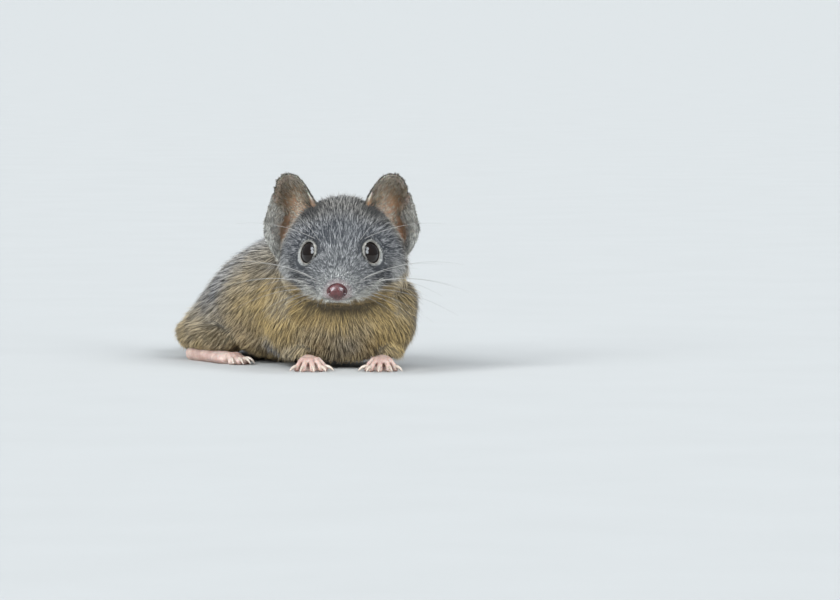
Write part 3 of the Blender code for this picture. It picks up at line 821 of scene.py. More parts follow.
@dataclass(frozen=True)
class BodyForm:
    """The body under its coat, as overlapping closed forms.

    The stations hold the outline at the tips of the coat, and a last number that says how deep
    the coat is there, which the skin lies inside by.
    """

    # back, top, bottom, half width, coat
    head: tuple = (
        (1.0, 1.5, -1.8, 2.1, 0.04),
        (2.6, 2.3, -2.4, 3.0, 0.1),
        (5.5, 3.7, -2.9, 4.5, 0.22),
        (10.0, 6.1, -3.7, 6.5, 0.4),
        (13.0, 8.3, -4.4, 8.1, 0.55),
        (16.5, 10.9, -5.2, 9.8, 0.75),
        (21.0, 13.2, -6.5, 11.2, 1.2),
        (25.0, 13.4, -7.2, 11.6, 1.3),
        (29.0, 12.0, -6.6, 11.2, 1.4),
    )
    head_taper: float = 0.24
    jaw_pinch: float = 0.36
    # x, y, z, half width, half height, coat
    trunk: tuple = (
        (-0.2, 21.0, 18.5, 8.0, 7.5, 1.0),
        (-0.3, 28.0, 17.2, 11.0, 10.0, 1.0),
        (-2.6, 35.0, 13.8, 13.0, 10.8, 1.1),
        (-7.2, 43.3, 12.9, 13.8, 11.1, 1.2),
        (-11.6, 51.0, 11.0, 13.6, 10.2, 1.3),
        (-16.0, 58.7, 7.9, 12.5, 7.5, 1.3),
        (-20.0, 65.3, 6.0, 9.0, 5.6, 1.2),
        (-23.4, 70.7, 5.4, 6.0, 4.5, 0.9),
        (-25.2, 75.0, 4.7, 3.3, 3.0, 0.6),
    )
    trunk_taper: float = 0.14
    # x, y, z, radius, coat
    tail: tuple = (
        (-24.6, 72.5, 5.0, 2.6, 0.5),
        (-25.6, 78.0, 3.7, 2.4, 0.35),
        (-25.6, 85.0, 2.5, 2.1, 0.25),
        (-23.4, 92.0, 1.8, 1.9, 0.22),
        (-18.4, 98.0, 1.6, 1.75, 0.2),
        (-11.4, 101.6, 1.45, 1.6, 0.2),
        (-3.4, 101.6, 1.3, 1.45, 0.18),
        (3.6, 98.0, 1.15, 1.3, 0.16),
        (8.2, 92.0, 1.0, 1.15, 0.14),
        (9.4, 84.6, 0.8, 0.9, 0.12),
        (8.4, 78.2, 0.5, 0.5, 0.1),
    )
    # centre, radii, coat
    swellings: tuple = (
        ((0.4, 31.5, 11.2), (13.6, 10.0, 8.6), 1.15),
        ((0.2, 25.8, 12.6), (10.2, 7.6, 7.0), 1.2),
        ((0.7, 28.0, 9.0), (11.0, 8.6, 7.2), 1.2),
        ((0.8, 29.5, 6.1), (11.6, 8.2, 5.4), 1.2),
        ((-8.5, 43.5, 5.8), (11.4, 9.4, 5.6), 1.1),
    )
    shoulders: tuple = ((8.5, 31.8, 8.4), (-8.0, 32.2, 8.2))
    shoulder_radii: Triple = (5.5, 8.6, 6.6)
    shoulder_coat: float = 1.2
    pelvis: tuple[float, float] = (-14.4, 55.4)
    heading: tuple[float, float] = (0.55, -0.83)
    thigh_place: Triple = (-0.5, 10.2, 4.1)
    thigh_radii: Triple = (5.2, 10.8, 4.4)
    thigh_turn: float = math.radians(6.0)
    haunch_place: Triple = (0.8, 9.0, 6.0)
    haunch_radii: Triple = (5.0, 9.6, 4.9)
    thigh_coat: float = 1.0
    # forward, out, z, radius
    shank: tuple = ((6.6, 12.6, 4.8, 2.8), (2.0, 12.9, 4.3, 2.6), (-2.6, 12.6, 3.4, 1.9))
    forearms: tuple = (
        ((9.6, 35.0, 6.0, 3.0), (8.9, 29.5, 4.4, 2.7), (7.8, 24.0, 2.6, 1.9)),
        ((-11.0, 36.0, 5.8, 3.2), (-8.2, 30.0, 4.3, 2.8), (-5.5, 24.0, 2.5, 1.9)),
    )
    limb_coat: float = 0.45

    def hip_point(self, side: Side, forward: float, out: float, z: float) -> Array:
        """A point in the pelvis's frame of one side.

        Args:
            side: The animal's left or right.
            forward: How far it is ahead.
            out: How far it is out to that side.
            z: Its height.

        Returns:
            The point in the working frame.
        """
        ahead = unit(self.heading)
        across = np.array((-ahead[1], ahead[0])) * side.value
        flat = np.array(self.pelvis) + forward * ahead + out * across
        return np.array((flat[0], flat[1], z))

    def head_shell(self) -> Surface:
        """The head's loft, whose sections are narrower on top.

        A section's points are out = w cos(q) (1 - taper sin(q)), up = m + h sin(q). The jaw's
        sections are pinched together below.

        Returns:
            The closed shell.
        """
        rows = smooth_rows(self.head, 60)
        back, top, bottom, half, coat = (rows[:, k : k + 1] for k in range(5))
        q = np.linspace(0, 2 * np.pi, 72, endpoint=False)
        middle, tall = (top + bottom) / 2, (top - bottom) / 2 - coat
        jaw = ease(18.0, 11.0, back) * ease(2.0, 6.0, back)
        pinch = 1 - self.jaw_pinch * jaw * ease(0.1, 0.9, -np.sin(q))
        rings = HEAD.place(
            (half - coat) * np.cos(q) * (1 - self.head_taper * np.sin(q)) * pinch,
            back + 0 * q,
            middle + tall * np.sin(q),
        )
        first, last = self.head[0][0], self.head[-1][0]
        return closed_loft(
            rings, HEAD.place(0.0, first - 0.45, 0.0), HEAD.place(0.0, last + 1.5, 2.0)
        )

    def thigh_axes(self, side: Side) -> Array:
        """The thigh's axes: across, along and upward.

        Args:
            side: The animal's left or right.

        Returns:
            One row for each axis.
        """
        angle = self.thigh_turn * side.value
        x, y = unit(self.heading)
        turned = (math.cos(angle) * x - math.sin(angle) * y, math.sin(angle) * x + math.cos(angle) * y)
        along = unit((*turned, -0.08))
        across = unit(np.cross(along, (0.0, 0.0, 1.0)))
        return np.array((across, along, np.cross(across, along)))

    def limb(self, rows: Sequence, sides: int = 32) -> Surface:
        """A limb's tube, inside its coat.

        Args:
            rows: x, y, z and radius along the limb.
            sides: Points in a section.

        Returns:
            The closed tube.
        """
        rows = smooth_rows(rows, 24)
        rows[:, 3] -= self.limb_coat
        return tube(rows, sides)

    def shells(self) -> list[Surface]:
        """Every form of the body under its coat.

        Returns:
            The closed shells.
        """
        trunk = smooth_rows(self.trunk, 80)
        trunk[:, 3:5] -= trunk[:, 5:6]
        tail = smooth_rows(self.tail, 200)
        tail[:, 3] -= tail[:, 4]
        shells = [
            tube(trunk[:, :5], 64, taper=self.trunk_taper),
            tube(tail[:, :4], 24, blunt=1.0),
            self.head_shell(),
        ]
        for centre, radii, coat in self.swellings:
            shells.append(ball(centre, np.array(radii) - coat))
        for side, shoulder, arm in zip(Side, self.shoulders, self.forearms):
            gaze = EYE.axes(side)
            orbit = EYE.middle(side) + gaze[2] * 0.05
            shells.append(ball(orbit, (3.9, 4.2, 1.6), gaze))
            shells.append(ball(shoulder, np.array(self.shoulder_radii) - self.shoulder_coat))
            for place, radii in (
                (self.thigh_place, self.thigh_radii),
                (self.haunch_place, self.haunch_radii),
            ):
                axes = self.thigh_axes(side)
                radii = np.array(radii) - self.thigh_coat
                shells.append(ball(self.hip_point(side, *place), radii, axes))
            shells.append(self.limb(arm))
            shells.append(self.limb([(*self.hip_point(side, *row[:3]), row[3]) for row in self.shank]))
        return shells


FORM = BodyForm()


@dataclass(frozen=True)
class Lie:
    """Which way the coat lies, how long it is and how far it stands up.

    The head's hair follows guides, given as a place and a direction in the head's frame, each
    weighted by the inverse of its distance to the fourth power. The body's hair follows the
    spine's line backwards and hangs, most of all on the chest. Where the skin faces forwards it
    turns outwards instead.
    """

    # out, back, up, then the direction: out, back, up. All are mirrored.
    guides: tuple = (
        (0.0, 1.5, 2.0, 0.0, 1.0, 0.3), (0.0, 6.0, 4.0, 0.0, 1.0, 0.45),
        (0.0, 10.0, 6.2, 0.0, 0.9, 0.6), (0.0, 14.0, 9.0, 0.0, 0.8, 0.7),
        (0.0, 19.0, 12.3, 0.0, 1.0, 0.55), (0.0, 25.0, 13.0, 0.0, 1.0, 0.0),
        (1.6, 1.5, 1.0, 0.6, 1.0, 0.3), (2.6, 3.5, 0.6, 0.8, 1.0, 0.1),
        (3.0, 3.5, -1.0, 0.8, 0.9, -0.25), (4.4, 7.0, 0.5, 0.9, 0.8, -0.05),
        (4.6, 7.0, -1.4, 0.9, 0.7, -0.35), (6.2, 10.5, 0.2, 0.9, 0.6, -0.25),
        (2.6, 8.0, 4.0, 0.45, 1.0, 0.5), (3.2, 10.5, 5.6, 0.3, 0.8, 0.8),
        (3.0, 13.5, 8.2, 0.2, 0.7, 0.8), (5.4, 13.6, 8.0, 0.4, 0.6, 0.8),
        (7.6, 16.0, 7.0, 0.8, 0.7, 0.4), (8.6, 16.5, 4.5, 0.9, 0.7, -0.1),
        (5.6, 11.0, 1.8, 0.85, 0.6, -0.2), (7.2, 13.0, 1.2, 0.9, 0.5, -0.35),
        (8.8, 15.5, 0.5, 0.85, 0.6, -0.5), (10.2, 19.0, 1.0, 0.7, 0.7, -0.6),
        (10.5, 21.0, -3.0, 0.6, 0.6, -0.9), (8.0, 16.0, -3.5, 0.7, 0.6, -0.8),
        (6.0, 11.0, -3.5, 0.6, 0.7, -0.7), (9.6, 20.0, 6.0, 0.7, 0.8, 0.1),
        (8.0, 18.5, 9.5, 0.5, 0.8, 0.5), (5.5, 18.0, 11.0, 0.3, 0.9, 0.6),
        (1.5, 2.0, -2.6, 0.3, 1.0, -0.35), (0.0, 3.0, -3.4, 0.0, 1.0, -0.3),
        (0.0, 10.0, -5.0, 0.0, 1.0, -0.4), (0.0, 18.0, -6.5, 0.0, 0.8, -0.8),
        (4.0, 14.0, -5.4, 0.4, 0.8, -0.6),
    )
    # back from the nose, then the hair's length
    head_length: tuple = (
        (0.0, 0.35), (2.0, 0.6), (4.0, 0.95), (7.0, 1.3), (11.0, 1.65), (15.0, 1.85),
        (20.0, 2.0), (25.0, 2.3),
    )

    def spine(self) -> tuple[Array, Array]:
        """Places on the line through trunk and tail, and its directions backwards.

        Returns:
            The places, and a unit direction for each.
        """
        trunk = smooth_rows(FORM.trunk, 120)[:-4, :3]
        tail = smooth_rows(FORM.tail, 200)[8:, :3]
        line = np.vstack((trunk, tail))
        return line, unit(np.gradient(line, axis=0))

    def head_flow(self, points: Array) -> Array:
        """Directions that the guides give.

        Args:
            points: Places in the working frame.

        Returns:
            One unit direction for each place.
        """
        local = np.stack(HEAD.read(points), axis=1)
        rows = np.array(self.guides)
        mirror = np.array((-1, 1, 1, -1, 1, 1))
        rows = np.vstack((rows, rows * mirror))
        gap = square_gaps(local, rows[:, :3])
        weight = 1.0 / (gap + 0.3) ** 2
        flow = weight @ unit(rows[:, 3:])
        return unit(flow) @ HEAD.rows()

    def body_flow(self, points: Array, normals: Array) -> Array:
        """Directions on the body.

        Args:
            points: Places in the working frame.
            normals: The skin's normals at those places.

        Returns:
            One unit direction for each place.
        """
        line, heading = self.spine()
        nearest = np.zeros(len(points), int)
        for start in range(0, len(points), 20000):
            part = slice(start, start + 20000)
            nearest[part] = square_gaps(points[part], line).argmin(axis=1)
        back = heading[nearest]
        level = unit(np.cross(back, (0.0, 0.0, 1.0)))
        side = np.tanh(((points - line[nearest]) * level).sum(axis=1) / 2.0)
        facing = ease(-0.25, -0.8, (back * normals).sum(axis=1))[:, None]
        flow = back * (1 - facing) + 0.8 * facing * side[:, None] * level
        droop = 0.5 + 1.0 * ease(40.0, 26.0, points[:, 1])
        droop = droop + 0.6 * ease(9.0, 4.0, points[:, 2]) * ease(38.0, 46.0, points[:, 1])
        droop[points[:, 1] > 78.0] *= 0.15
        flow = flow + droop[:, None] * np.array((0.0, 0.0, -1.0))
        return unit(flow)

    def limb_flow(self, points: Array) -> tuple[Array, Array]:
        """Directions down the limbs, and how much each place belongs to a limb.

        Args:
            points: Places in the working frame.

        Returns:
            A direction and a share from 0 to 1 for each place.
        """
        total = np.zeros_like(points)
        most = np.zeros(len(points))
        for side, arm in zip(Side, FORM.forearms):
            shank = [(*FORM.hip_point(side, *row[:3]), row[3]) for row in FORM.shank]
            for rows in (arm, shank):
                path = smooth_rows(rows, 30)
                gap = square_gaps(points, path[:, :3])
                nearest = gap.argmin(axis=1)
                reach = np.sqrt(gap.min(axis=1)) - path[nearest, 3]
                share = ease(0.9, 0.2, reach) * ease(4.2, 2.6, points[:, 2])
                total += share[:, None] * unit(np.gradient(path[:, :3], axis=0))[nearest]
                most = np.maximum(most, share)
        return unit(total), most

    def flow(self, points: Array, normals: Array) -> tuple[Array, Array]:
        """The lie of the coat over the skin.

        Args:
            points: Places on the skin.
            normals: The skin's normals there.

        Returns:
            Directions along the skin, and how much each place belongs to a limb.
        """
        head = MARKS.head(points)[:, None]
        body = self.body_flow(points, normals)
        limbs, share = self.limb_flow(points)
        share = share * (1 - head[:, 0])
        face = self.head_flow(points)
        for side in Side:
            radius, height, _ = EYE.polar(side, points)
            near = (ease(3.6, 2.3, radius) * (height > -0.5))[:, None]
            spoke = unit(points - EYE.middle(side))
            face = face * (1 - near) + spoke * near
        flow = face * head + body * (1 - head)
        flow = flow * (1 - share[:, None]) + limbs * share[:, None]
        return along_skin(flow, normals), share

    def length(self, points: Array, share: Array) -> Array:
        """The hair's length at each place.

        Args:
            points: Places in the working frame.
            share: How much each place belongs to a limb.

        Returns:
            One length for each place, in millimetres.
        """
        _, back, up = HEAD.read(points)
        head = MARKS.head(points)
        levels = np.array(self.head_length)
        face = np.interp(back, levels[:, 0], levels[:, 1])
        over = up - MARKS.cheek_line(back)
        lips = bell(over, 0.9) * ease(4.5, 7.0, back) * ease(16.0, 11.0, back)
        cheeks = ease(0.4, -1.6, over) * ease(6.0, 14.0, back)
        roots = self.ear_roots(points)
        face = face + 1.3 * lips + 1.9 * cheeks + 0.5 * roots
        for side in Side:
            radius, height, _ = EYE.polar(side, points)
            near = ease(4.0, 2.6, radius) * (height > -1.0)
            face = face * (1 - near) + (0.4 + 0.45 * ease(2.2, 3.0, radius)) * near
        body = 2.7 + 0.6 * ease(38.0, 52.0, points[:, 1])
        thigh = ease(-15.0, -18.0, points[:, 0]) + ease(1.0, 4.0, points[:, 0])
        low = ease(9.0, 4.0, points[:, 2]) * ease(36.0, 44.0, points[:, 1])
        body = body - 1.2 * low * np.minimum(thigh, 1.0)
        body = body - 1.2 * ease(66.0, 75.0, points[:, 1])
        tail = ease(73.0, 80.0, points[:, 1])
        body = body * (1 - tail) + 1.3 * tail
        body = body * (1 - share) + 1.5 * share
        return face * head + body * (1 - head) + 0.9 * self.neck(points)

    def rise(self, points: Array, share: Array) -> Array:
        """The angle between hair and skin at the root.

        Args:
            points: Places in the working frame.
            share: How much each place belongs to a limb.

        Returns:
            One angle for each place, in radians.
        """
        _, back, up = HEAD.read(points)
        head = MARKS.head(points)
        over = up - MARKS.cheek_line(back)
        face = 0.27 + 0.1 * ease(10.0, 18.0, back) * ease(6.0, 10.0, up)
        face = face + 0.16 * bell(over, 1.2) * ease(5.0, 9.0, back)
        face = face + 0.3 * self.ear_roots(points)
        body = 0.42 - 0.14 * ease(72.0, 80.0, points[:, 1])
        body = body * (1 - 0.3 * share)
        return face * head + body * (1 - head) + 0.3 * self.neck(points)

    def ear_roots(self, points: Array) -> Array:
        """One where the crown's hair stands up before the ears."""
        out, back, up = HEAD.read(points)
        return bell(abs(out) - 6.2, 2.2) * bell(back - 21.5, 2.5) * ease(7.0, 10.0, up)

    def neck(self, points: Array) -> Array:
        """One on the left side of the neck, where the ruff bridges cheek and shoulder."""
        return spot(points, (11.6, 26.0, 15.0), 3.6)


LIE = Lie()


# Skin


@dataclass
class Skin:
    """The one skin over head, neck, trunk, limbs and tail, with lids' beds and mouth."""

    voxel: float = 0.325
    relax: int = 55
    fine_back: float = 12.6  # how far back from the nose the edges are halved
    fine_eye: float = 4.2  # how far from the gaze they are
    # back from the nose, height of the mouth's line
    mouth: tuple = ((-2.0, -1.35), (2.0, -1.5), (6.0, -1.75), (9.5, -1.5), (11.0, -1.1))
    mouth_depth: float = 0.42
    mouth_width: float = 0.17
    bed_radii: tuple[float, ...] = (0.0, 1.8, 2.02, 2.4, 3.0, 3.6)
    bed_heights: tuple[float, ...] = (0.2, 0.5, 1.45, 1.55, 1.48, 1.3)
    nodes: tuple[str, ...] = (
        "head", "jaw", "neck", "chest", "belly", "rump", "thigh_left", "thigh_right",
        "upper_arm_left", "upper_arm_right", "forearm_left", "forearm_right", "shank_left",
        "shank_right", "tail_base", "tail_middle", "tail_bend", "tail_tip",
    )
    points: Array = field(init=False)
    normals: Array = field(init=False)
    triangles: Array = field(init=False)
    unwrapped: Array = field(init=False)

    def build(self) -> Object:
        """Fuses the forms, refines the face and carves it.

        Returns:
            The skin in the solids' frame.
        """
        obj = fused("skin", FORM.shells(), self.voxel, self.relax)
        self.refine(obj.data)
        self.carve(obj.data)
        self.points = read_points(obj.data)
        self.normals = point_normals(obj.data)
        self.unwrap(obj)
        paint(obj.data, "marks", MARKS.all(self.points))
        write_points(obj.data, STANCE.carry(self.points))
        obj.data.shade_smooth()
        return obj

    def refine(self, mesh: Mesh) -> None:
        """Halves the edges of muzzle and orbits.

        Args:
            mesh: The skin's mesh, which it changes.
        """
        points = read_points(mesh)
        _, back, _ = HEAD.read(points)
        chosen = back < self.fine_back
        for side in Side:
            radius, height, _ = EYE.polar(side, points)
            chosen |= (radius < self.fine_eye) & (height > -0.5)
        bm = bmesh.new()
        bm.from_mesh(mesh)
        bm.verts.ensure_lookup_table()
        edges = [e for e in bm.edges if chosen[e.verts[0].index] and chosen[e.verts[1].index]]
        bmesh.ops.subdivide_edges(bm, edges=edges, cuts=1, use_grid_fill=True, smooth=0.6)
        bm.to_mesh(mesh)
        bm.free()
        mesh.update()

    def carve(self, mesh: Mesh) -> None:
        """Cuts the mouth and shapes the beds of the eyes.

        The mouth is a groove -depth exp(-(d / width)^2) along the normal, where d is the height
        over the mouth's line. Round each eye the height along the gaze is led to the bed's.

        Args:
            mesh: The skin's mesh, which it changes.
        """
        points = read_points(mesh)
        normals = point_normals(mesh)
        _, back, up = HEAD.read(points)
        line = np.array(self.mouth)
        over = up - np.interp(back, line[:, 0], line[:, 1])
        reach = ease(11.4, 10.2, back) * ease(-1.5, 0.0, back)
        groove = -self.mouth_depth * bell(over, self.mouth_width)
        lips = 0.12 * bell(abs(over) - 0.5, 0.3)
        chin = -0.12 * ease(0.0, -0.4, over) * ease(-3.0, -1.5, over)
        points = points + normals * ((groove + lips + chin) * reach)[:, None]
        for side in Side:
            radius, height, _ = EYE.polar(side, points)
            bed = np.interp(radius, self.bed_radii, self.bed_heights)
            near = ease(self.bed_radii[-1], 2.5, radius) * (height > 0)
            points = points + (near * (bed - height))[:, None] * EYE.axes(side)[2]
        write_points(mesh, points)

    def unwrap(self, obj: Object) -> None:
        """Unwraps the skin, and keeps each triangle's corners on the map.

        Args:
            obj: The skin.
        """
        bpy.context.view_layer.objects.active = obj
        obj.select_set(True)
        bpy.ops.object.mode_set(mode="EDIT")
        bpy.ops.mesh.select_all(action="SELECT")
        bpy.ops.uv.smart_project(angle_limit=math.radians(66), island_margin=0.002)
        bpy.ops.object.mode_set(mode="OBJECT")
        obj.select_set(False)
        mesh = obj.data
        mesh.uv_layers.active.name = BAKE_MAP
        mesh.calc_loop_triangles()
        count = len(mesh.loop_triangles)
        corners = np.empty(count * 3, np.int32)
        loops = np.empty(count * 3, np.int32)
        mesh.loop_triangles.foreach_get("vertices", corners)
        mesh.loop_triangles.foreach_get("loops", loops)
        places = np.empty(len(mesh.loops) * 2, np.float32)
        mesh.uv_layers[BAKE_MAP].uv.foreach_get("vector", places)
        self.triangles = corners.reshape(-1, 3)
        self.unwrapped = places.reshape(-1, 2)[loops.reshape(-1, 3)]


# Coat


@dataclass
class Strands:
    """Hairs before they grow: where each is rooted, and how it lies."""

    roots: Array
    normals: Array
    lie: Array
    length: Array
    rise: Array
    width: Array
    marks: Array
    unwrap: Array


@dataclass(frozen=True)
class Growth:
    """How strands become blades. Lengths are millimetres, angles radians."""

    joints: int = 2
    tuft: float = 0.9
    pull: float = 0.2
    sway: float = 0.12
    roll: float = 0.6
    settle: float = 0.65
    guard_share: float = 0.05
    guard_length: float = 1.25
    guard_width: float = 1.2
    root_depth: float = 0.12
    clearance: float = 0.04

    def tufts(self, roots: Array, rng: Rng) -> tuple[Array, Array, Array]:
        """Groups roots into tufts by the cells of a wavering grid.

        Args:
            roots: Where the hairs are rooted.
            rng: The source of chance.

        Returns:
            Each hair's tuft, the middle of that tuft, and one random number for it.
        """
        waver = 0.6 * self.tuft
        warp = np.stack([ripple(roots, 2.2 * self.tuft, 1.3 * k) for k in range(3)], axis=1)
        cells = np.floor((roots + waver * warp) / self.tuft).astype(np.int64)
        keys = cells[:, 0] * 1000003 + cells[:, 1] * 1009 + cells[:, 2]
        _, tuft = np.unique(keys, return_inverse=True)
        count = np.bincount(tuft)
        middle = np.stack([np.bincount(tuft, weights=roots[:, k]) / count for k in range(3)], axis=1)
        return tuft, middle[tuft], rng.random(len(count))[tuft]

    def grow(self, strands: Strands, rng: Rng) -> tuple[Surface, Array, Array]:
        """Blades that rise from the skin, bend down along it and lean into their tufts.

        A blade's angle to the skin falls from the root's to (1 - settle) of it at the tip. Each
        joint has two points a tapering width apart, and the tip has one.

        Args:
            strands: The hairs.
            rng: The source of chance.

        Returns:
            The blades, four numbers for each point (place along the hair, the hair's and the
            tuft's chance, one on a guard hair), and each point's place on the bake map.
        """
        count = len(strands.roots)
        tuft, middle, tuft_chance = self.tufts(strands.roots, rng)
        chance = rng.random(count)
        guard = rng.random(count) < self.guard_share
        length = strands.length * rng.uniform(0.75, 1.1, count) * np.where(guard, self.guard_length, 1)
        rise = strands.rise * rng.uniform(0.75, 1.25, count) * np.where(guard, 1.15, 1)
        tuft_turn = rng.normal(0, self.sway, tuft.max() + 1)[tuft]
        turn = tuft_turn + rng.normal(0, 0.6 * self.sway, count)
        side = np.cross(strands.normals, strands.lie)
        lie = strands.lie * np.cos(turn)[:, None] + side * np.sin(turn)[:, None]
        side = np.cross(strands.normals, lie)
        steps = np.arange(self.joints + 1) / self.joints
        path = [strands.roots - self.root_depth * strands.normals]
        for k in range(self.joints):
            angle = rise * (1 - self.settle * (k + 0.5) / self.joints)
            step = np.cos(angle)[:, None] * lie + np.sin(angle)[:, None] * strands.normals
            path.append(path[-1] + step * (length / self.joints)[:, None])
        path = np.stack(path, axis=1)
        lean = middle - strands.roots
        lean -= (lean * strands.normals).sum(axis=1, keepdims=True) * strands.normals
        pull = self.pull * np.where(guard, 0.4, 1)
        path += (pull[:, None] * lean)[:, None, :] * (steps**1.4)[None, :, None]
        path[..., 2] = np.maximum(path[..., 2], self.clearance + 0.1 * chance[:, None])
        roll = rng.uniform(-self.roll, self.roll, count)
        edge = side * np.cos(roll)[:, None] + strands.normals * np.sin(roll)[:, None]
        half = 0.5 * strands.width * np.where(guard, self.guard_width, 1)
        taper = 1 - 0.5 * steps[:-1] ** 1.5
        offset = edge[:, None, :] * (half[:, None] * taper[None, :])[..., None]
        body = path[:, :-1]
        pairs = np.stack((body - offset, body + offset), axis=2).reshape(count, -1, 3)
        points = np.concatenate((pairs, path[:, -1:]), axis=1)
        per = points.shape[1]
        start = (np.arange(count) * per)[:, None, None]
        strip = np.arange(self.joints - 1)[None, :, None] * 2 + np.array((0, 1, 3, 2))
        quads = (start + strip).reshape(-1, 4)
        tips = (start[:, 0] + np.array((per - 3, per - 2, per - 1))).reshape(-1, 3)
        along = np.append(np.repeat(steps[:-1], 2), 1.0)
        numbers = np.stack(
            np.broadcast_arrays(
                along[None, :], chance[:, None], tuft_chance[:, None], 1.0 * guard[:, None]
            ),
            axis=-1,
        )
        across = np.append(np.tile((0.0, 1.0), self.joints), 0.5)
        patch = HAIR_PATCH * (np.stack((across, along), axis=1) - 0.5)
        bake = np.clip(strands.unwrap[:, None, :] + patch[None], 0, 1)
        surface = Surface(points.reshape(-1, 3), quads, tips)
        return surface, numbers.reshape(-1, 4), bake.reshape(-1, 2)


def coat_piece(name: str, strands: Strands, growth: Growth, finish: Material, seed: int) -> Object:
    """One piece of coat with its attributes and its bake map.

    Args:
        name: The piece's name.
        strands: Its hairs.
        growth: How they grow.
        finish: The coat's material.
        seed: The seed of chance.

    Returns:
        The piece.
    """
    surface, numbers, bake = growth.grow(strands, np.random.default_rng(seed))
    obj = piece(name, surface, finish)
    per = len(surface.points) // len(strands.roots)
    paint(obj.data, "strand", numbers)
    paint(obj.data, "marks", np.repeat(strands.marks, per, axis=0))
    layer = obj.data.uv_layers.new(name=BAKE_MAP)
    corners = np.concatenate((surface.quads.ravel(), surface.tris.ravel()))
    layer.uv.foreach_set("vector", np.ascontiguousarray(bake[corners], np.float32).ravel())
    return obj


class ZoneHair(NamedTuple):
    """How the hair of one part of the coat is sown and grown."""

    density: float  # hairs for each square millimetre
    width: float  # a blade's width at its root
    tuft: float  # size of a tuft
    guard_share: float  # how many are long and broad guard hairs
    guard_length: float  # how long those are beside the others


class Zone(Enum):
    """Parts of the coat."""

    FACE = ZoneHair(125.0, 0.088, 0.3, 0.09, 1.15)
    CROWN = ZoneHair(115.0, 0.092, 0.35, 0.1, 1.2)
    NECK = ZoneHair(68.0, 0.1, 0.42, 0.12, 1.35)
    CHEST = ZoneHair(76.0, 0.1, 0.42, 0.12, 1.25)
    BACK = ZoneHair(62.0, 0.105, 0.45, 0.12, 1.35)
    LEFT_FLANK = ZoneHair(44.0, 0.125, 0.5, 0.12, 1.3)
    RIGHT_FLANK = ZoneHair(72.0, 0.105, 0.45, 0.12, 1.25)
    LIMBS = ZoneHair(80.0, 0.1, 0.4, 0.08, 1.2)
    TAIL = ZoneHair(44.0, 0.1, 0.4, 0.06, 1.2)


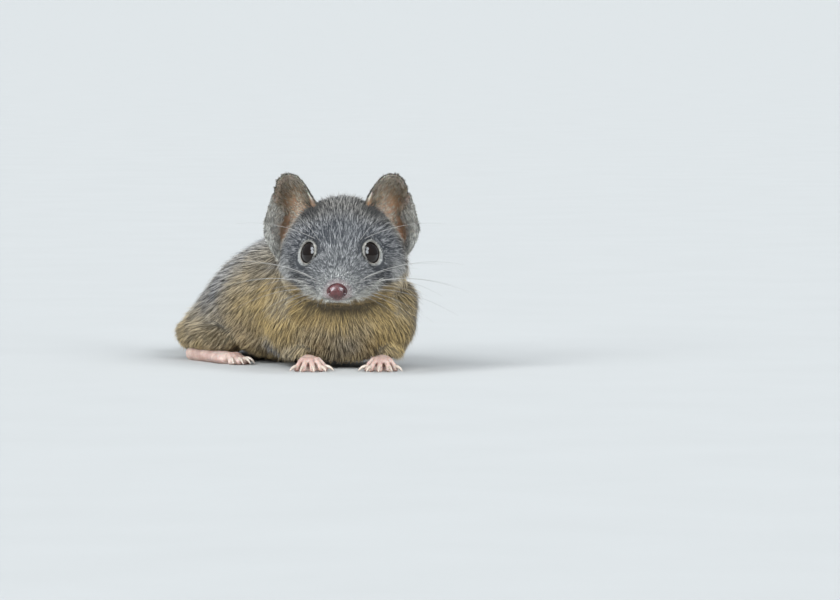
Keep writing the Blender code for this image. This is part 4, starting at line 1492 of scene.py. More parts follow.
@dataclass
class Coat:
    """The hair over the skin, sown by area and grown zone by zone."""

    skin: Skin
    finish: Material
    thinning: float = 1.0
    chest_back: float = 40.0
    neck_height: float = 13.0
    tail_back: float = 75.5
    face_back: float = 15.5
    moustache_density: float = 20.0
    moustache_width: float = 0.075
    moustache_rise: float = 0.42
    flow: Array = field(init=False)
    length: Array = field(init=False)
    rise: Array = field(init=False)
    marks: Array = field(init=False)

    def zones(self, points: Array, share: Array) -> Array:
        """The number of the zone that each place belongs to.

        Args:
            points: Places in the working frame.
            share: How much each place belongs to a limb.

        Returns:
            One number for each place.
        """
        head = MARKS.head(points) > 0.5
        _, back, _ = HEAD.read(points)
        x, y, z = points[:, 0], points[:, 1], points[:, 2]
        number = {kind: k for k, kind in enumerate(Zone)}
        trunk = smooth_rows(FORM.trunk, 60)
        nearest = np.abs(y[:, None] - trunk[None, :, 1]).argmin(axis=1)
        low = z < trunk[nearest, 2] + 1.5
        left = x > trunk[nearest, 0]
        chest = (y < self.chest_back) & ~head
        zone = np.full(len(points), number[Zone.BACK])
        for kind, chosen in (
            (Zone.LEFT_FLANK, low & left),
            (Zone.RIGHT_FLANK, low & ~left),
            (Zone.CHEST, chest),
            (Zone.NECK, chest & (z > self.neck_height)),
            (Zone.LIMBS, share > 0.5),
            (Zone.TAIL, y > self.tail_back),
            (Zone.FACE, head & (back < self.face_back)),
            (Zone.CROWN, head & (back >= self.face_back)),
        ):
            zone[chosen] = number[kind]
        return zone

    def bald(self, points: Array) -> Array:
        """The share of hair that a place lacks: all by the nose and in the orbits, some on the muzzle.

        Args:
            points: Places in the working frame.

        Returns:
            One value from 0 to 1 for each place.
        """
        _, back, _ = HEAD.read(points)
        bare = ease(1.2, 0.3, back)
        for side in Side:
            radius, height, _ = EYE.polar(side, points)
            bare = np.maximum(bare, (radius < 1.94) & (height > -0.5))
        thin = 0.15 * ease(3.0, 1.0, back)
        return np.maximum(bare, thin)

    def sow(self, density: Array, width: float, rng: Rng) -> Strands:
        """Hairs rooted at random over the skin.

        Args:
            density: Hairs for each square millimetre of each triangle.
            width: A hair's mean width.
            rng: The source of chance.

        Returns:
            The hairs, lying as the coat does where they are rooted.
        """
        skin = self.skin
        corners = skin.triangles
        a, b, c = (skin.points[corners[:, k]] for k in range(3))
        area = 0.5 * np.linalg.norm(np.cross(b - a, c - a), axis=1)
        total = np.cumsum(area * density * self.thinning)
        count = int(total[-1])
        sown = (np.arange(count) + rng.random(count)) * total[-1] / count
        picked = np.searchsorted(total, sown).clip(0, len(corners) - 1)
        s, t = rng.random(count), rng.random(count)
        over = s + t > 1
        s[over], t[over] = 1 - s[over], 1 - t[over]
        shares = np.stack((1 - s - t, s, t), axis=1)

        def at(values: Array) -> Array:
            """Values at the roots, between the corners of their triangles."""
            return np.einsum("nk,nk...->n...", shares, values[corners[picked]])

        normals = unit(at(skin.normals))
        return Strands(
            at(skin.points),
            normals,
            along_skin(at(self.flow), normals),
            at(self.length),
            at(self.rise),
            width * rng.uniform(0.7, 1.25, count),
            at(self.marks),
            np.einsum("nk,nkj->nj", shares, skin.unwrapped[picked]),
        )

    def moustache(self, rng: Rng) -> Strands:
        """Long pale hairs on the upper lips, which fan outwards and hang.

        Args:
            rng: The source of chance.

        Returns:
            The hairs.
        """
        _, back, up = HEAD.read(self.skin.points)
        over = up - MARKS.cheek_line(back)
        lips = bell(over - 0.8, 0.7) * ease(1.6, 3.0, back) * ease(12.5, 9.0, back)
        density = self.moustache_density * lips[self.skin.triangles].mean(axis=1)
        strands = self.sow(density, self.moustache_width, rng)
        out, back, _ = HEAD.read(strands.roots)
        way = np.stack((0.85 * np.sign(out), 0.1 + 0.02 * back, -0.75 + 0.03 * back), axis=1)
        strands.lie = along_skin(way @ HEAD.rows(), strands.normals)
        strands.length = np.interp(back, (1.5, 4.0, 8.0, 12.0), (0.9, 2.0, 3.4, 3.0))
        strands.rise = np.full(len(back), self.moustache_rise)
        strands.marks = np.tile((0.1, 1.0, 0.0, 0.0), (len(back), 1))
        return strands

    def build(self) -> list[Object]:
        """Sows and grows every zone, and the moustache.

        Returns:
            The coat's pieces.
        """
        skin = self.skin
        self.flow, share = LIE.flow(skin.points, skin.normals)
        self.length = LIE.length(skin.points, share)
        self.rise = LIE.rise(skin.points, share)
        self.marks = MARKS.all(skin.points)
        haired = 1 - self.bald(skin.points)[skin.triangles].mean(axis=1)
        zone = self.zones(skin.points, share)[skin.triangles[:, 0]]
        pieces = []
        for number, kind in enumerate(Zone):
            hair = kind.value
            density = hair.density * haired * (zone == number)
            strands = self.sow(density, hair.width, np.random.default_rng(100 + number))
            growth = Growth(tuft=hair.tuft, guard_share=hair.guard_share, guard_length=hair.guard_length)
            name = f"coat_{kind.name.lower()}"
            pieces.append(coat_piece(name, strands, growth, self.finish, 200 + number))
        strands = self.moustache(np.random.default_rng(99))
        growth = Growth(joints=3, pull=0.1, sway=0.2, guard_share=0.0)
        pieces.append(coat_piece("coat_moustache", strands, growth, self.finish, 99))
        return pieces


# Eyes and lids


@dataclass
class Eyes:
    """The two eyeballs and the lids round them."""

    flat: float = 0.3
    flat_spread: float = 0.8
    # distance from the gaze axis and height along it, from the eyeball out to the skin
    lid: tuple = (
        (1.84, 1.4), (1.86, 1.6), (1.90, 1.7), (1.96, 1.73), (2.02, 1.7), (2.08, 1.6),
        (2.15, 1.44), (2.22, 1.18), (2.28, 0.8),
    )
    inner: float = 1.84
    narrow: float = 0.2
    widening: float = 0.46
    slant: float = math.radians(65.0)
    brow: float = 0.1
    corner: float = 0.2
    lash_count: int = 1100
    lash_band: tuple[float, float] = (0.24, 0.5)
    lash_length: float = 0.52
    lash_rise: float = 0.4
    lash_width: float = 0.06

    def eyeball(self, side: Side) -> Surface:
        """A ball that is flatter in front: its radius is r - flat exp(-(angle / spread)^2).

        Args:
            side: The animal's left or right.

        Returns:
            The closed eyeball.
        """
        grid, first, last = ball_rings(46, 64)
        polar = np.arccos(np.clip(grid[..., 2], -1, 1))
        radius = EYE.radius - self.flat * bell(polar, self.flat_spread)
        middle, axes = EYE.middle(side), EYE.axes(side)
        shape = (
            (grid * radius[..., None]) @ axes + middle,
            first * (EYE.radius - self.flat) @ axes + middle,
            last * EYE.radius @ axes + middle,
        )
        return closed_loft(*shape)

    def lid_grid(self, side: Side) -> tuple[Array, Array]:
        """A rounded rim, as points by turn and section, and the spokes away from the gaze.

        The opening is an oval that leans towards the nose, drawn out by a bell at each corner of
        the eye. The rim is widest below the outer corner. The upper half stands higher by the
        brow's share.

        Args:
            side: The animal's left or right.

        Returns:
            Points and spokes, both of shape (turns, sections, 3).
        """
        turn = np.linspace(0, 2 * np.pi, 120, endpoint=False)[:, None]
        section = smooth_rows(self.lid, 26)
        wide = 0.5 - 0.5 * np.cos(turn - 0.5)
        radius = self.inner + (section[:, 0] - self.inner) * (self.narrow + self.widening * wide)
        near = bell(np.angle(np.exp(1j * (turn + 0.6))), 0.32)
        far = bell(np.angle(np.exp(1j * (turn - np.pi + 0.1))), 0.35)
        inward = ease(0.85, 0.2, np.linspace(0, 1, 26))
        slant = 0.09 * np.cos(2 * (turn - self.slant))
        radius = radius + slant + (self.corner * near + 0.06 * far) * inward
        crest = ease(0.0, 0.25, np.linspace(0, 1, 26))
        folds = 0.02 * np.sin(radius * 21.0 + 0.6 * np.sin(5 * turn)) * crest
        height = section[:, 1] + self.brow * (0.5 + 0.5 * np.sin(turn)) * crest + folds
        height = height - 0.12 * near - 0.1 * wide * crest
        axes, middle = EYE.axes(side), EYE.middle(side)
        spoke = -side.value * np.cos(turn)[..., None] * axes[0] + np.sin(turn)[..., None] * axes[1]
        grid = middle + spoke * radius[..., None] + height[..., None] * axes[2]
        return grid, np.broadcast_to(spoke, grid.shape)

    def lids(self, side: Side) -> tuple[Surface, Array]:
        """The rim as a closed ring, and four numbers for each point: its place in the section.

        Args:
            side: The animal's left or right.

        Returns:
            The ring, and one row of numbers for each of its points.
        """
        grid, spoke = self.lid_grid(side)
        under = grid - 0.35 * EYE.axes(side)[2] - 0.05 * spoke
        loop = np.concatenate((grid, under[:, ::-1]), axis=1)
        rows, columns = loop.shape[:2]
        place = np.linspace(0, 1, columns // 2)
        place = np.tile(np.concatenate((place, place[::-1])), rows)
        marks = np.stack((place, 0 * place, 0 * place, 0 * place), axis=1)
        return Surface(loop.reshape(-1, 3), grid_quads(rows, columns, True, True)).outward(), marks

    def lashes(self, side: Side) -> Strands:
        """Short pale hairs that cover the rim outwards from its crest.

        Args:
            side: The animal's left or right.

        Returns:
            The hairs.
        """
        rng = np.random.default_rng(31)
        grid, spoke = self.lid_grid(side)
        loop = np.concatenate((grid, grid[:1]))
        spokes = np.concatenate((spoke, spoke[:1]))
        normals = unit(np.cross(np.gradient(loop, axis=1), np.gradient(loop, axis=0)))
        normals = normals * np.sign((normals @ EYE.axes(side)[2]).mean())
        count = self.lash_count
        row = rng.random(count) * (len(loop) - 1)
        start, span = self.lash_band
        column = (start + span * rng.random(count)) * (grid.shape[1] - 1)
        normal = unit(read_grid(normals, row, column))
        lie = read_grid(spokes, row, column)
        lie = along_skin(lie, normal)
        chance = rng.random(count)
        marks = np.stack((0.1 * chance, 0.8 + 0.2 * chance, 0 * chance, 0 * chance), axis=1)
        unwrap = np.stack((row / len(loop), column / grid.shape[1]), axis=1)
        return Strands(
            read_grid(loop, row, column),
            normal,
            lie,
            self.lash_length * rng.uniform(0.5, 1.3, count),
            np.full(count, self.lash_rise),
            np.full(count, self.lash_width),
            marks,
            unwrap,
        )

    def build(self, eye: Material, lid: Material, coat: Material) -> None:
        """Makes both eyes, their lids and the hairs on those.

        Args:
            eye: The eyeballs' material.
            lid: The lids' material.
            coat: The hairs' material.
        """
        for side in Side:
            name = f"eye_{side.label}"
            settle(piece(f"{name}_ball", self.eyeball(side), eye), "eye", name)
            surface, marks = self.lids(side)
            rim = piece(f"lids_{side.label}", surface, lid)
            paint(rim.data, "marks", marks)
            settle(rim, "bare_skin")
            growth = Growth(tuft=0.2, pull=0.2, sway=0.2, guard_share=0.0)
            lashes = coat_piece(f"coat_lids_{side.label}", self.lashes(side), growth, coat, 61)
            settle(lashes, "grizzled_coat")


# Nose


@dataclass
class Nose:
    """The bare nose pad with its nostrils."""

    radii: Triple = (1.75, 1.35, 1.42)
    back: float = 0.9
    nostril: Triple = (0.84, -0.52, -0.02)
    depth: float = 0.7

    def surface(self) -> Surface:
        """A ball whose radius is worked out from the direction.

        It is broad above and narrow below. A bell sinks each nostril, a wider bell raises its
        wing, and a narrow groove runs down the middle.

        Returns:
            The closed nose pad.
        """
        grid, first, last = ball_rings(120, 150)

        def shaped(d: Array) -> Array:
            """Points in the directions d, whose third axis points forwards.

            Args:
                d: Unit directions, whose third axis points forwards.

            Returns:
                Points in the working frame.
            """
            out, up, forward = d[..., 0], d[..., 1], d[..., 2]
            scale = np.ones(out.shape)
            for sign in (1.0, -1.0):
                hole = unit((sign * self.nostril[0], self.nostril[2], -self.nostril[1]))
                gap = np.arccos(np.clip(d @ hole, -1, 1))
                slit = np.hypot(gap, 0.6 * (out * sign - hole[0] * sign).clip(0, None))
                scale = scale + 0.04 * bell(gap - 0.42, 0.25)
                scale = scale - self.depth * bell(slit, 0.2)
            groove = bell(out, 0.07) * ease(0.35, -0.25, up) * ease(0.0, 0.4, forward)
            scale = scale - 0.07 * groove
            scale = scale + 0.05 * ease(0.1, 0.7, up) * bell(out, 0.6)
            narrow = 1 - 0.22 * ease(0.1, -0.95, up)
            local = d * scale[..., None]
            return HEAD.place(
                local[..., 0] * self.radii[0] * narrow,
                self.back - local[..., 2] * self.radii[1],
                local[..., 1] * self.radii[2],
            )

        return closed_loft(shaped(grid), shaped(first), shaped(last))

    def build(self, finish: Material) -> None:
        """Makes the nose."""
        settle(piece("nose_pad", self.surface(), finish), "nose_pad", "nose")


# Ears


class WallHair(NamedTuple):
    """How hair grows on one part of an ear."""

    count: int
    across: tuple[float, float]  # where the part starts across the ear, and how wide it is
    outward: tuple[float, float]  # the same from the root outwards
    turn: float  # how far the hair leans across, beside outwards
    length: float
    rise: float
    width: float
    ochre: float
    pale: float
    share: float  # how many of the hairs are as pale as that


class Wall(Enum):
    """Parts of an ear: the cup, the lobe on its outer side, the back and the fringe."""

    INNER = WallHair(5600, (0.04, 0.6), (0.03, 0.92), 0.2, 1.15, 0.3, 0.085, 0.6, 0.5, 0.6)
    LOBE = WallHair(5500, (0.53, 0.47), (0.5, 0.49), 1.8, 1.5, 0.3, 0.1, 0.05, 1.0, 0.95)
    OUTER = WallHair(11000, (0.0, 1.0), (0.0, 1.0), 0.1, 1.1, 0.3, 0.1, 0.35, 0.3, 0.65)
    RIM = WallHair(1800, (0.0, 1.0), (0.955, 0.04), 0.15, 0.55, 0.15, 0.1, 0.4, 0.7, 0.7)


@dataclass
class Ears:
    """Two thin cupped ears with rolled rims, and the hairs on them."""

    # out, back, up from the front root over the tip to the lower end
    margin: tuple = (
        (4.65, 21.5, 13.0), (5.6, 22.0, 14.75), (6.7, 23.2, 16.0), (7.7, 24.3, 16.45),
        (9.0, 25.3, 16.5), (10.1, 26.2, 15.9), (10.9, 26.9, 14.6), (11.35, 27.3, 13.2),
        (12.0, 27.7, 11.7), (12.7, 28.0, 10.2), (13.3, 28.2, 8.4), (13.5, 28.1, 6.7),
        (13.1, 27.4, 5.1), (12.3, 26.2, 3.6), (11.2, 24.8, 2.4),
    )
    root: tuple = ((4.1, 22.6, 10.4), (6.6, 24.8, 8.6), (8.3, 25.2, 5.4), (9.2, 24.2, 2.2))
    cup: float = 3.4
    lobe_curl: float = 2.6
    right_lean: float = 0.6
    left_tuck: float = 0.4
    # across, width, depth
    notches: tuple = ((0.5, 0.016, 0.035), (0.44, 0.014, 0.02))
    thick_root: float = 0.8
    thick_rim: float = 0.32
    across: int = 120
    outward: int = 56

    def sheet(self, side: Side) -> Array:
        """The middle of the ear's wall, from the root out to the margin.

        S(u, v) = root(u) + v (margin(u) - root(u)), pushed back by a bowl sin(pi v^0.8)
        sin(pi u)^0.7. The rim rolls forward, wavers, and has two notches over the lower lobe,
        which curls forward.

        Args:
            side: The animal's left or right.

        Returns:
            Points of shape (outward, across, 3).
        """
        u = np.linspace(0, 1, self.across)[None, :]
        v = np.linspace(0, 1, self.outward)[:, None]
        margin = smooth_rows(self.margin, self.across)[None]
        root = smooth_rows(self.root, self.across)[None]
        ragged = np.sin(41 * u + 2.2 * side.value) * np.sin(17 * u + 1.0)
        ragged = 0.6 * ragged + 0.4 * np.sin(83 * u + 0.7 * side.value)
        notch = sum(depth * bell(u - at, width) for at, width, depth in self.notches)
        reach = 0.012 * ragged * ease(0.1, 0.25, u) - notch
        sheet = root + (margin - root) * (v * (1 + reach * v**3))[..., None]
        bowl = np.sin(np.pi * v**0.8) * np.sin(np.pi * u) ** 0.7
        roll = -0.5 * ease(0.86, 1.0, v) * np.sin(np.pi * u) ** 0.5
        fold = 0.6 * bell(u - 0.56 - 0.1 * v, 0.05) * ease(0.25, 0.5, v)
        second = 0.35 * bell(u - 0.3 - 0.1 * v, 0.06) * ease(0.3, 0.6, v)
        curl = ease(0.5, 0.72, u) * ease(0.4, 1.0, v) * ease(1.02, 0.85, u)
        sheet[..., 1] += self.cup * bowl + roll - fold - second - self.lobe_curl * curl
        if side is Side.RIGHT:
            sheet[..., 0] += self.right_lean * ease(8.0, 14.0, sheet[..., 2])
        else:
            sheet[..., 0] -= self.left_tuck * ease(12.0, 8.0, sheet[..., 2]) * v
        sheet[..., 0] *= side.value
        return HEAD.place(sheet[..., 0], sheet[..., 1], sheet[..., 2])

    def walls(self, side: Side) -> tuple[Array, Array, Array]:
        """The front and back walls, and the normals that point forwards.

        Args:
            side: The animal's left or right.

        Returns:
            Front wall, back wall and normals, all of the sheet's shape.
        """
        sheet = self.sheet(side)
        normals = unit(np.cross(np.gradient(sheet, axis=0), np.gradient(sheet, axis=1)))
        front = -HEAD.rows()[1]
        if (normals @ front).mean() < 0:
            normals = -normals
        v = np.linspace(0, 1, self.outward)[:, None, None]
        half = 0.5 * (self.thick_root + (self.thick_rim - self.thick_root) * v)
        half = half * (1 - 0.75 * ease(0.93, 1.0, v))
        return sheet + half * normals, sheet - half * normals, normals

    def shell(self, side: Side) -> Surface:
        """Both walls, joined round all four edges.

        Args:
            side: The animal's left or right.

        Returns:
            The closed shell.
        """
        front, back, _ = self.walls(side)
        loop = np.concatenate((front, back[::-1]), axis=0)
        rows, columns = loop.shape[:2]
        quads = grid_quads(rows, columns, True, False)
        first = np.arange(self.outward - 1) * columns
        other = (rows - 1 - np.arange(self.outward - 1)) * columns
        ends = []
        for edge in (0, columns - 1):
            near, far = first + edge, other + edge
            ends.append(np.stack((near, near + columns, far - columns, far), axis=1))
        ends[1] = ends[1][:, ::-1]
        return Surface(loop.reshape(-1, 3), np.vstack((quads, *ends))).outward()

    def marks(self) -> Array:
        """Place across, place outward, one in front, and one on the lobe.

        Returns:
            One row of four numbers for each point of the shell.
        """
        u = np.tile(np.linspace(0, 1, self.across), self.outward * 2)
        v = np.repeat(np.linspace(0, 1, self.outward), self.across)
        v = np.concatenate((v, v.reshape(self.outward, -1)[::-1].ravel()))
        front = np.repeat((1.0, 0.0), self.outward * self.across)
        lobe = ease(0.5, 0.58, u) * ease(0.45, 0.65, v)
        return np.stack((u, v, front, lobe), axis=1)

    def strands(self, side: Side, wall: Wall, seed: int) -> Strands:
        """Hairs on one part of an ear.

        Args:
            side: Which ear.
            wall: Which part.
            seed: The seed of chance.

        Returns:
            The hairs.
        """
        rng = np.random.default_rng(seed)
        hair = wall.value
        count = hair.count
        outer = wall is Wall.OUTER
        front, back, normals = self.walls(side)
        u, v = rng.random(count), rng.random(count) ** 0.8
        u, v = hair.across[0] + hair.across[1] * u, hair.outward[0] + hair.outward[1] * v
        surface = back if outer else front
        column = u * (self.across - 1)
        row = v * (self.outward - 1)
        outwards = unit(read_grid(np.gradient(surface, axis=0), row, column))
        across = unit(read_grid(np.gradient(surface, axis=1), row, column))
        lie = outwards + (hair.turn + 0.25 * rng.normal(size=count))[:, None] * across
        normal = unit(read_grid(-normals if outer else normals, row, column))
        length = hair.length * rng.uniform(0.6, 1.2, count)
        pale = hair.pale
        dark = np.zeros(count)
        if outer:
            length = length * (1.25 - 0.6 * v)
            pale = 0.2 + 0.8 * ease(0.45, 0.6, u)
        elif wall is Wall.INNER:
            dark = 0.9 * ease(0.3, 0.05, u) * ease(0.45, 0.2, v)
        pale = np.where(rng.random(count) < hair.share, pale, 0.1)
        marks = (hair.ochre, pale * (1 - dark), dark, 0.0 * u)
        return Strands(
            read_grid(surface, row, column),
            normal,
            along_skin(lie, normal),
            length,
            np.full(count, hair.rise),
            np.full(count, hair.width) * rng.uniform(0.7, 1.2, count),
            np.stack(np.broadcast_arrays(*marks), axis=1),
            np.stack((0.5 * outer + 0.49 * u, 0.01 + 0.98 * v), axis=1),
        )

    def build(self, skin: Material, coat: Material) -> None:
        """Makes both ears and their hairs.

        Args:
            skin: The ears' material.
            coat: The hairs' material.
        """
        for side in Side:
            obj = piece(f"ear_{side.label}_skin", self.shell(side), skin)
            paint(obj.data, "marks", self.marks())
            settle(obj, "ear_skin", f"ear_{side.label}")
            walls = [self.strands(side, wall, 40 + k) for k, wall in enumerate(Wall)]
            names = Strands.__dataclass_fields__
            whole = Strands(*(np.concatenate([getattr(w, n) for w in walls]) for n in names))
            growth = Growth(tuft=0.4, pull=0.3, sway=0.2, guard_share=0.15)
            settle(coat_piece(f"coat_ear_{side.label}", whole, growth, coat, 60), "grizzled_coat")


# Hands, feet and claws


@dataclass(frozen=True)
class Digit:
    """One finger or toe: its root and heading on the floor, and its size."""

    root: Array
    way: Array
    length: float
    radius: float
    lift: float
    clawed: bool = True


@dataclass
class Feet:
    """Four bare feet with arched digits, pads and claws."""

    hands: tuple = (((7.7, 24.2), (-0.05, -1.0)), ((-5.4, 24.2), (0.1, -1.0)))
    palm: tuple = (
        (-1.2, 1.3, 2.6), (1.0, 1.7, 2.6), (3.0, 2.1, 2.6), (4.4, 2.2, 2.4), (5.4, 1.7, 1.9),
    )
    fingers: tuple = ((-52.0, 2.8), (-23.0, 3.9), (-2.0, 4.3), (20.0, 3.9), (46.0, 3.0))
    finger_root: float = 3.6
    finger_radius: float = 0.52
    finger_lift: float = 1.7
    sole: tuple = (
        (-1.3, 1.1, 1.8), (0.2, 1.7, 2.6), (4.0, 1.8, 2.5), (9.0, 2.2, 2.2), (12.0, 2.6, 1.9),
        (13.6, 2.0, 1.4),
    )
    heel: tuple[float, float] = (-2.5, 12.4)
    turn: float = math.radians(2.0)
    toes: tuple = ((-20.0, 4.0), (-6.0, 4.7), (7.0, 4.6), (21.0, 4.0))
    toe_root: float = 11.8
    hallux: Triple = (8.6, 64.0, 2.9)
    toe_radius: float = 0.66
    toe_lift: float = 1.0
    claw_length: float = 1.75
    claw_radius: float = 0.3
    sink: float = 0.25
    voxel: float = 0.13
    relax: int = 7
    crease_depth: float = 0.03
    crease_wave: float = 9.0

    def turned(self, heading: Sequence[float], degrees: float) -> Array:
        """A flat heading turned to the left, seen from above.

        Args:
            heading: The heading.
            degrees: How far it is turned.

        Returns:
            The turned heading, at length one.
        """
        angle = math.radians(degrees)
        x, y = unit(heading)
        cos, sin = math.cos(angle), math.sin(angle)
        return np.array((cos * x - sin * y, sin * x + cos * y))

    def pad(self, stations: Sequence, base: Sequence[float], heading: Sequence[float]) -> Surface:
        """The flat-bottomed middle of a hand or foot.

        Args:
            stations: Distance ahead, half width and height along it.
            base: Where it starts on the floor.
            heading: Which way it points on the floor.

        Returns:
            The closed pad.
        """
        ahead = np.array((*unit(heading), 0.0))
        rows = []
        for forward, half, height in stations:
            centre = np.array((*base, 0.0)) + ahead * forward
            rise = (height - self.sink) / 2
            rows.append((centre[0], centre[1], rise, half, height / 2 + self.sink / 2))
        return tube(smooth_rows(rows, 30), 40)

    def digit(self, digit: Digit) -> list[Surface]:
        """One digit that arches to the floor, with a pad under its tip and a knuckle on top.

        Args:
            digit: Its root, heading and size.

        Returns:
            The digit's tube, and the pad of its tip.
        """
        ahead = np.array((*digit.way, 0.0))
        rise = np.array((0.0, 0.0, 1.0))
        knuckle = np.array((*digit.root, 0.0))
        length, r, lift = digit.length, digit.radius, digit.lift
        stations = (
            (0.0, 1.9 * lift, 1.0),
            (0.22, 2.15 * lift, 0.96),
            (0.44, 2.1 * lift, 1.06),
            (0.62, 1.7 * lift, 0.86),
            (0.8, 1.2 * lift, 0.9),
            (0.93, 1.02, 0.98),
            (1.02, 0.95, 0.7),
        )
        rows = [(*(knuckle + ahead * length * f + rise * r * h), r * w) for f, h, w in stations]
        tip = knuckle + ahead * length * 0.93 + rise * r * 0.72
        bulb = ball(tip, (r * 1.08, r * 1.08, r * 0.78))
        return [tube(smooth_rows(rows, 22), 20), bulb]

    def claw(self, digit: Digit) -> Surface:
        """A curved claw, deeper than wide, from the top of a digit's tip down to the floor.

        Args:
            digit: The digit that bears it.

        Returns:
            The closed claw.
        """
        ahead = np.array((*digit.way, 0.0))
        rise = np.array((0.0, 0.0, 1.0))
        tip = np.array((*digit.root, 0.0)) + ahead * digit.length
        reach, r = self.claw_length, self.claw_radius
        stations = (
            (-0.35, 1.55, 0.85, 1.0),
            (0.0, 1.62, 0.95, 1.1),
            (0.3, 1.5, 0.85, 1.0),
            (0.55, 1.2, 0.62, 0.8),
            (0.75, 0.78, 0.4, 0.55),
            (0.86, 0.42, 0.18, 0.25),
            (0.9, 0.24, 0.06, 0.08),
        )
        rows = [
            (*(tip + ahead * reach * f + rise * digit.radius * h), r * w, r * d)
            for f, h, w, d in stations
        ]
        return tube(smooth_rows(rows, 26), 14, blunt=0.5)

    def digits(self, side: Side, hand: bool) -> list[Digit]:
        """The fingers or toes of one hand or foot.

        Args:
            side: The animal's left or right.
            hand: Whether it is a hand; otherwise it is a foot.

        Returns:
            One for each finger or toe.
        """
        found = []
        base, heading = self.place(side, hand)
        if hand:
            for turn, length in self.fingers:
                way = self.turned(heading, turn * side.value)
                root = base + heading * self.finger_root + way * 0.6
                found.append(Digit(root, way, length, self.finger_radius, self.finger_lift))
            return found
        for turn, length in self.toes:
            way = self.turned(heading, turn)
            root = base + heading * self.toe_root + way * 0.6
            found.append(Digit(root, way, length, self.toe_radius, self.toe_lift))
        forward, turn, length = self.hallux
        way = self.turned(heading, -turn * side.value)
        root = base + heading * forward
        found.append(Digit(root, way, length, self.toe_radius, self.toe_lift, False))
        return found

    def place(self, side: Side, hand: bool) -> tuple[Array, Array]:
        """Wrist or heel, and heading, on the floor.

        Args:
            side: The animal's left or right.
            hand: Whether it is a hand; otherwise it is a foot.

        Returns:
            The point and the unit heading.
        """
        if hand:
            base, heading = self.hands[0 if side is Side.LEFT else 1]
            return np.array(base), unit(heading)
        heel = FORM.hip_point(side, *self.heel, 0.0)[:2]
        return heel, self.turned(FORM.heading, math.degrees(self.turn) * side.value)

    def build(self, skin: Material, claw: Material) -> None:
        """Makes the four feet and their claws.

        Args:
            skin: The feet's material.
            claw: The claws' material.
        """
        for side in Side:
            for hand in (True, False):
                word = "hand" if hand else "foot"
                base, heading = self.place(side, hand)
                shells = [self.pad(self.palm if hand else self.sole, base, heading)]
                digits = self.digits(side, hand)
                for digit in digits:
                    shells += self.digit(digit)
                claws = [self.claw(digit) for digit in digits if digit.clawed]
                name = f"{word}_{side.label}"
                obj = fused(f"{name}_skin", shells, self.voxel, self.relax)
                points = read_points(obj.data)
                points[:, 2] = np.maximum(points[:, 2], 0.0)
                forward = points @ np.array((*heading, 0.0))
                creases = self.crease_depth * np.sin(forward * self.crease_wave)
                normals = point_normals(obj.data)
                points += normals * (creases * ease(0.4, 1.0, points[:, 2]))[:, None]
                write_points(obj.data, STANCE.carry(points))
                obj.data.shade_smooth()
                obj.data.materials.append(skin)
                settle(obj, "bare_skin", name)
                settle(piece(f"claws_{name}", join(claws), claw), "bare_skin")


# Whiskers


@dataclass
class Whiskers:
    """Long curved hairs on the muzzle, over the eyes and on the cheeks."""

    # out, back, up of the root, then how the hair leaves it in the same axes, and the length.
    # The first seven are the long ones.
    rows: tuple = (
        (3.7, 5.2, 1.2, 1.0, 0.40, 0.45, 12.0), (4.5, 6.9, 1.4, 1.0, 0.45, 0.42, 15.5),
        (5.2, 8.6, 1.5, 1.0, 0.42, 0.36, 18.5), (4.9, 7.0, 0.3, 1.0, 0.42, 0.20, 17.0),
        (5.6, 8.9, 0.4, 1.0, 0.40, 0.12, 18.0), (5.6, 9.0, -0.9, 1.0, 0.50, -0.10, 16.5),
        (4.2, 12.6, 7.2, 1.0, 0.25, 0.45, 16.0), (2.9, 3.6, 0.9, 0.95, 0.35, 0.35, 7.0),
        (3.2, 3.6, 0.1, 1.0, 0.3, 0.05, 8.0), (4.1, 5.3, 0.1, 1.0, 0.4, 0.08, 12.0),
        (3.2, 3.9, -0.9, 0.9, 0.35, -0.3, 8.0), (4.1, 5.6, -1.0, 1.0, 0.4, -0.28, 11.0),
        (4.8, 7.3, -1.1, 1.0, 0.5, -0.25, 13.0), (3.5, 12.0, 7.0, 0.55, 0.2, 0.8, 8.0),
        (8.4, 16.5, -0.6, 1.0, 0.4, -0.1, 10.0),
    )
    radius: float = 0.05
    droop: float = 0.28
    sweep: float = 0.14

    def build(self, finish: Material) -> None:
        """Makes all the whiskers as one piece.

        Args:
            finish: Their material.
        """
        hairs = []
        t = np.linspace(0, 1, 18)[:, None]
        for side in Side:
            for *root, out, back, up, length in self.rows:
                place = HEAD.place(root[0] * side.value, root[1], root[2])
                way = unit((out * side.value, back, up)) @ HEAD.rows()
                bend = np.array((0.0, self.sweep, -self.droop))
                path = place + length * (way * t + bend * t**2)
                width = self.radius * (1 - 0.9 * t) * min(1.0, 0.55 + length / 40)
                hairs.append(tube(np.hstack((path, width)), 5))
        settle(piece("whiskers", join(hairs), finish), "grizzled_coat")


# Finishes


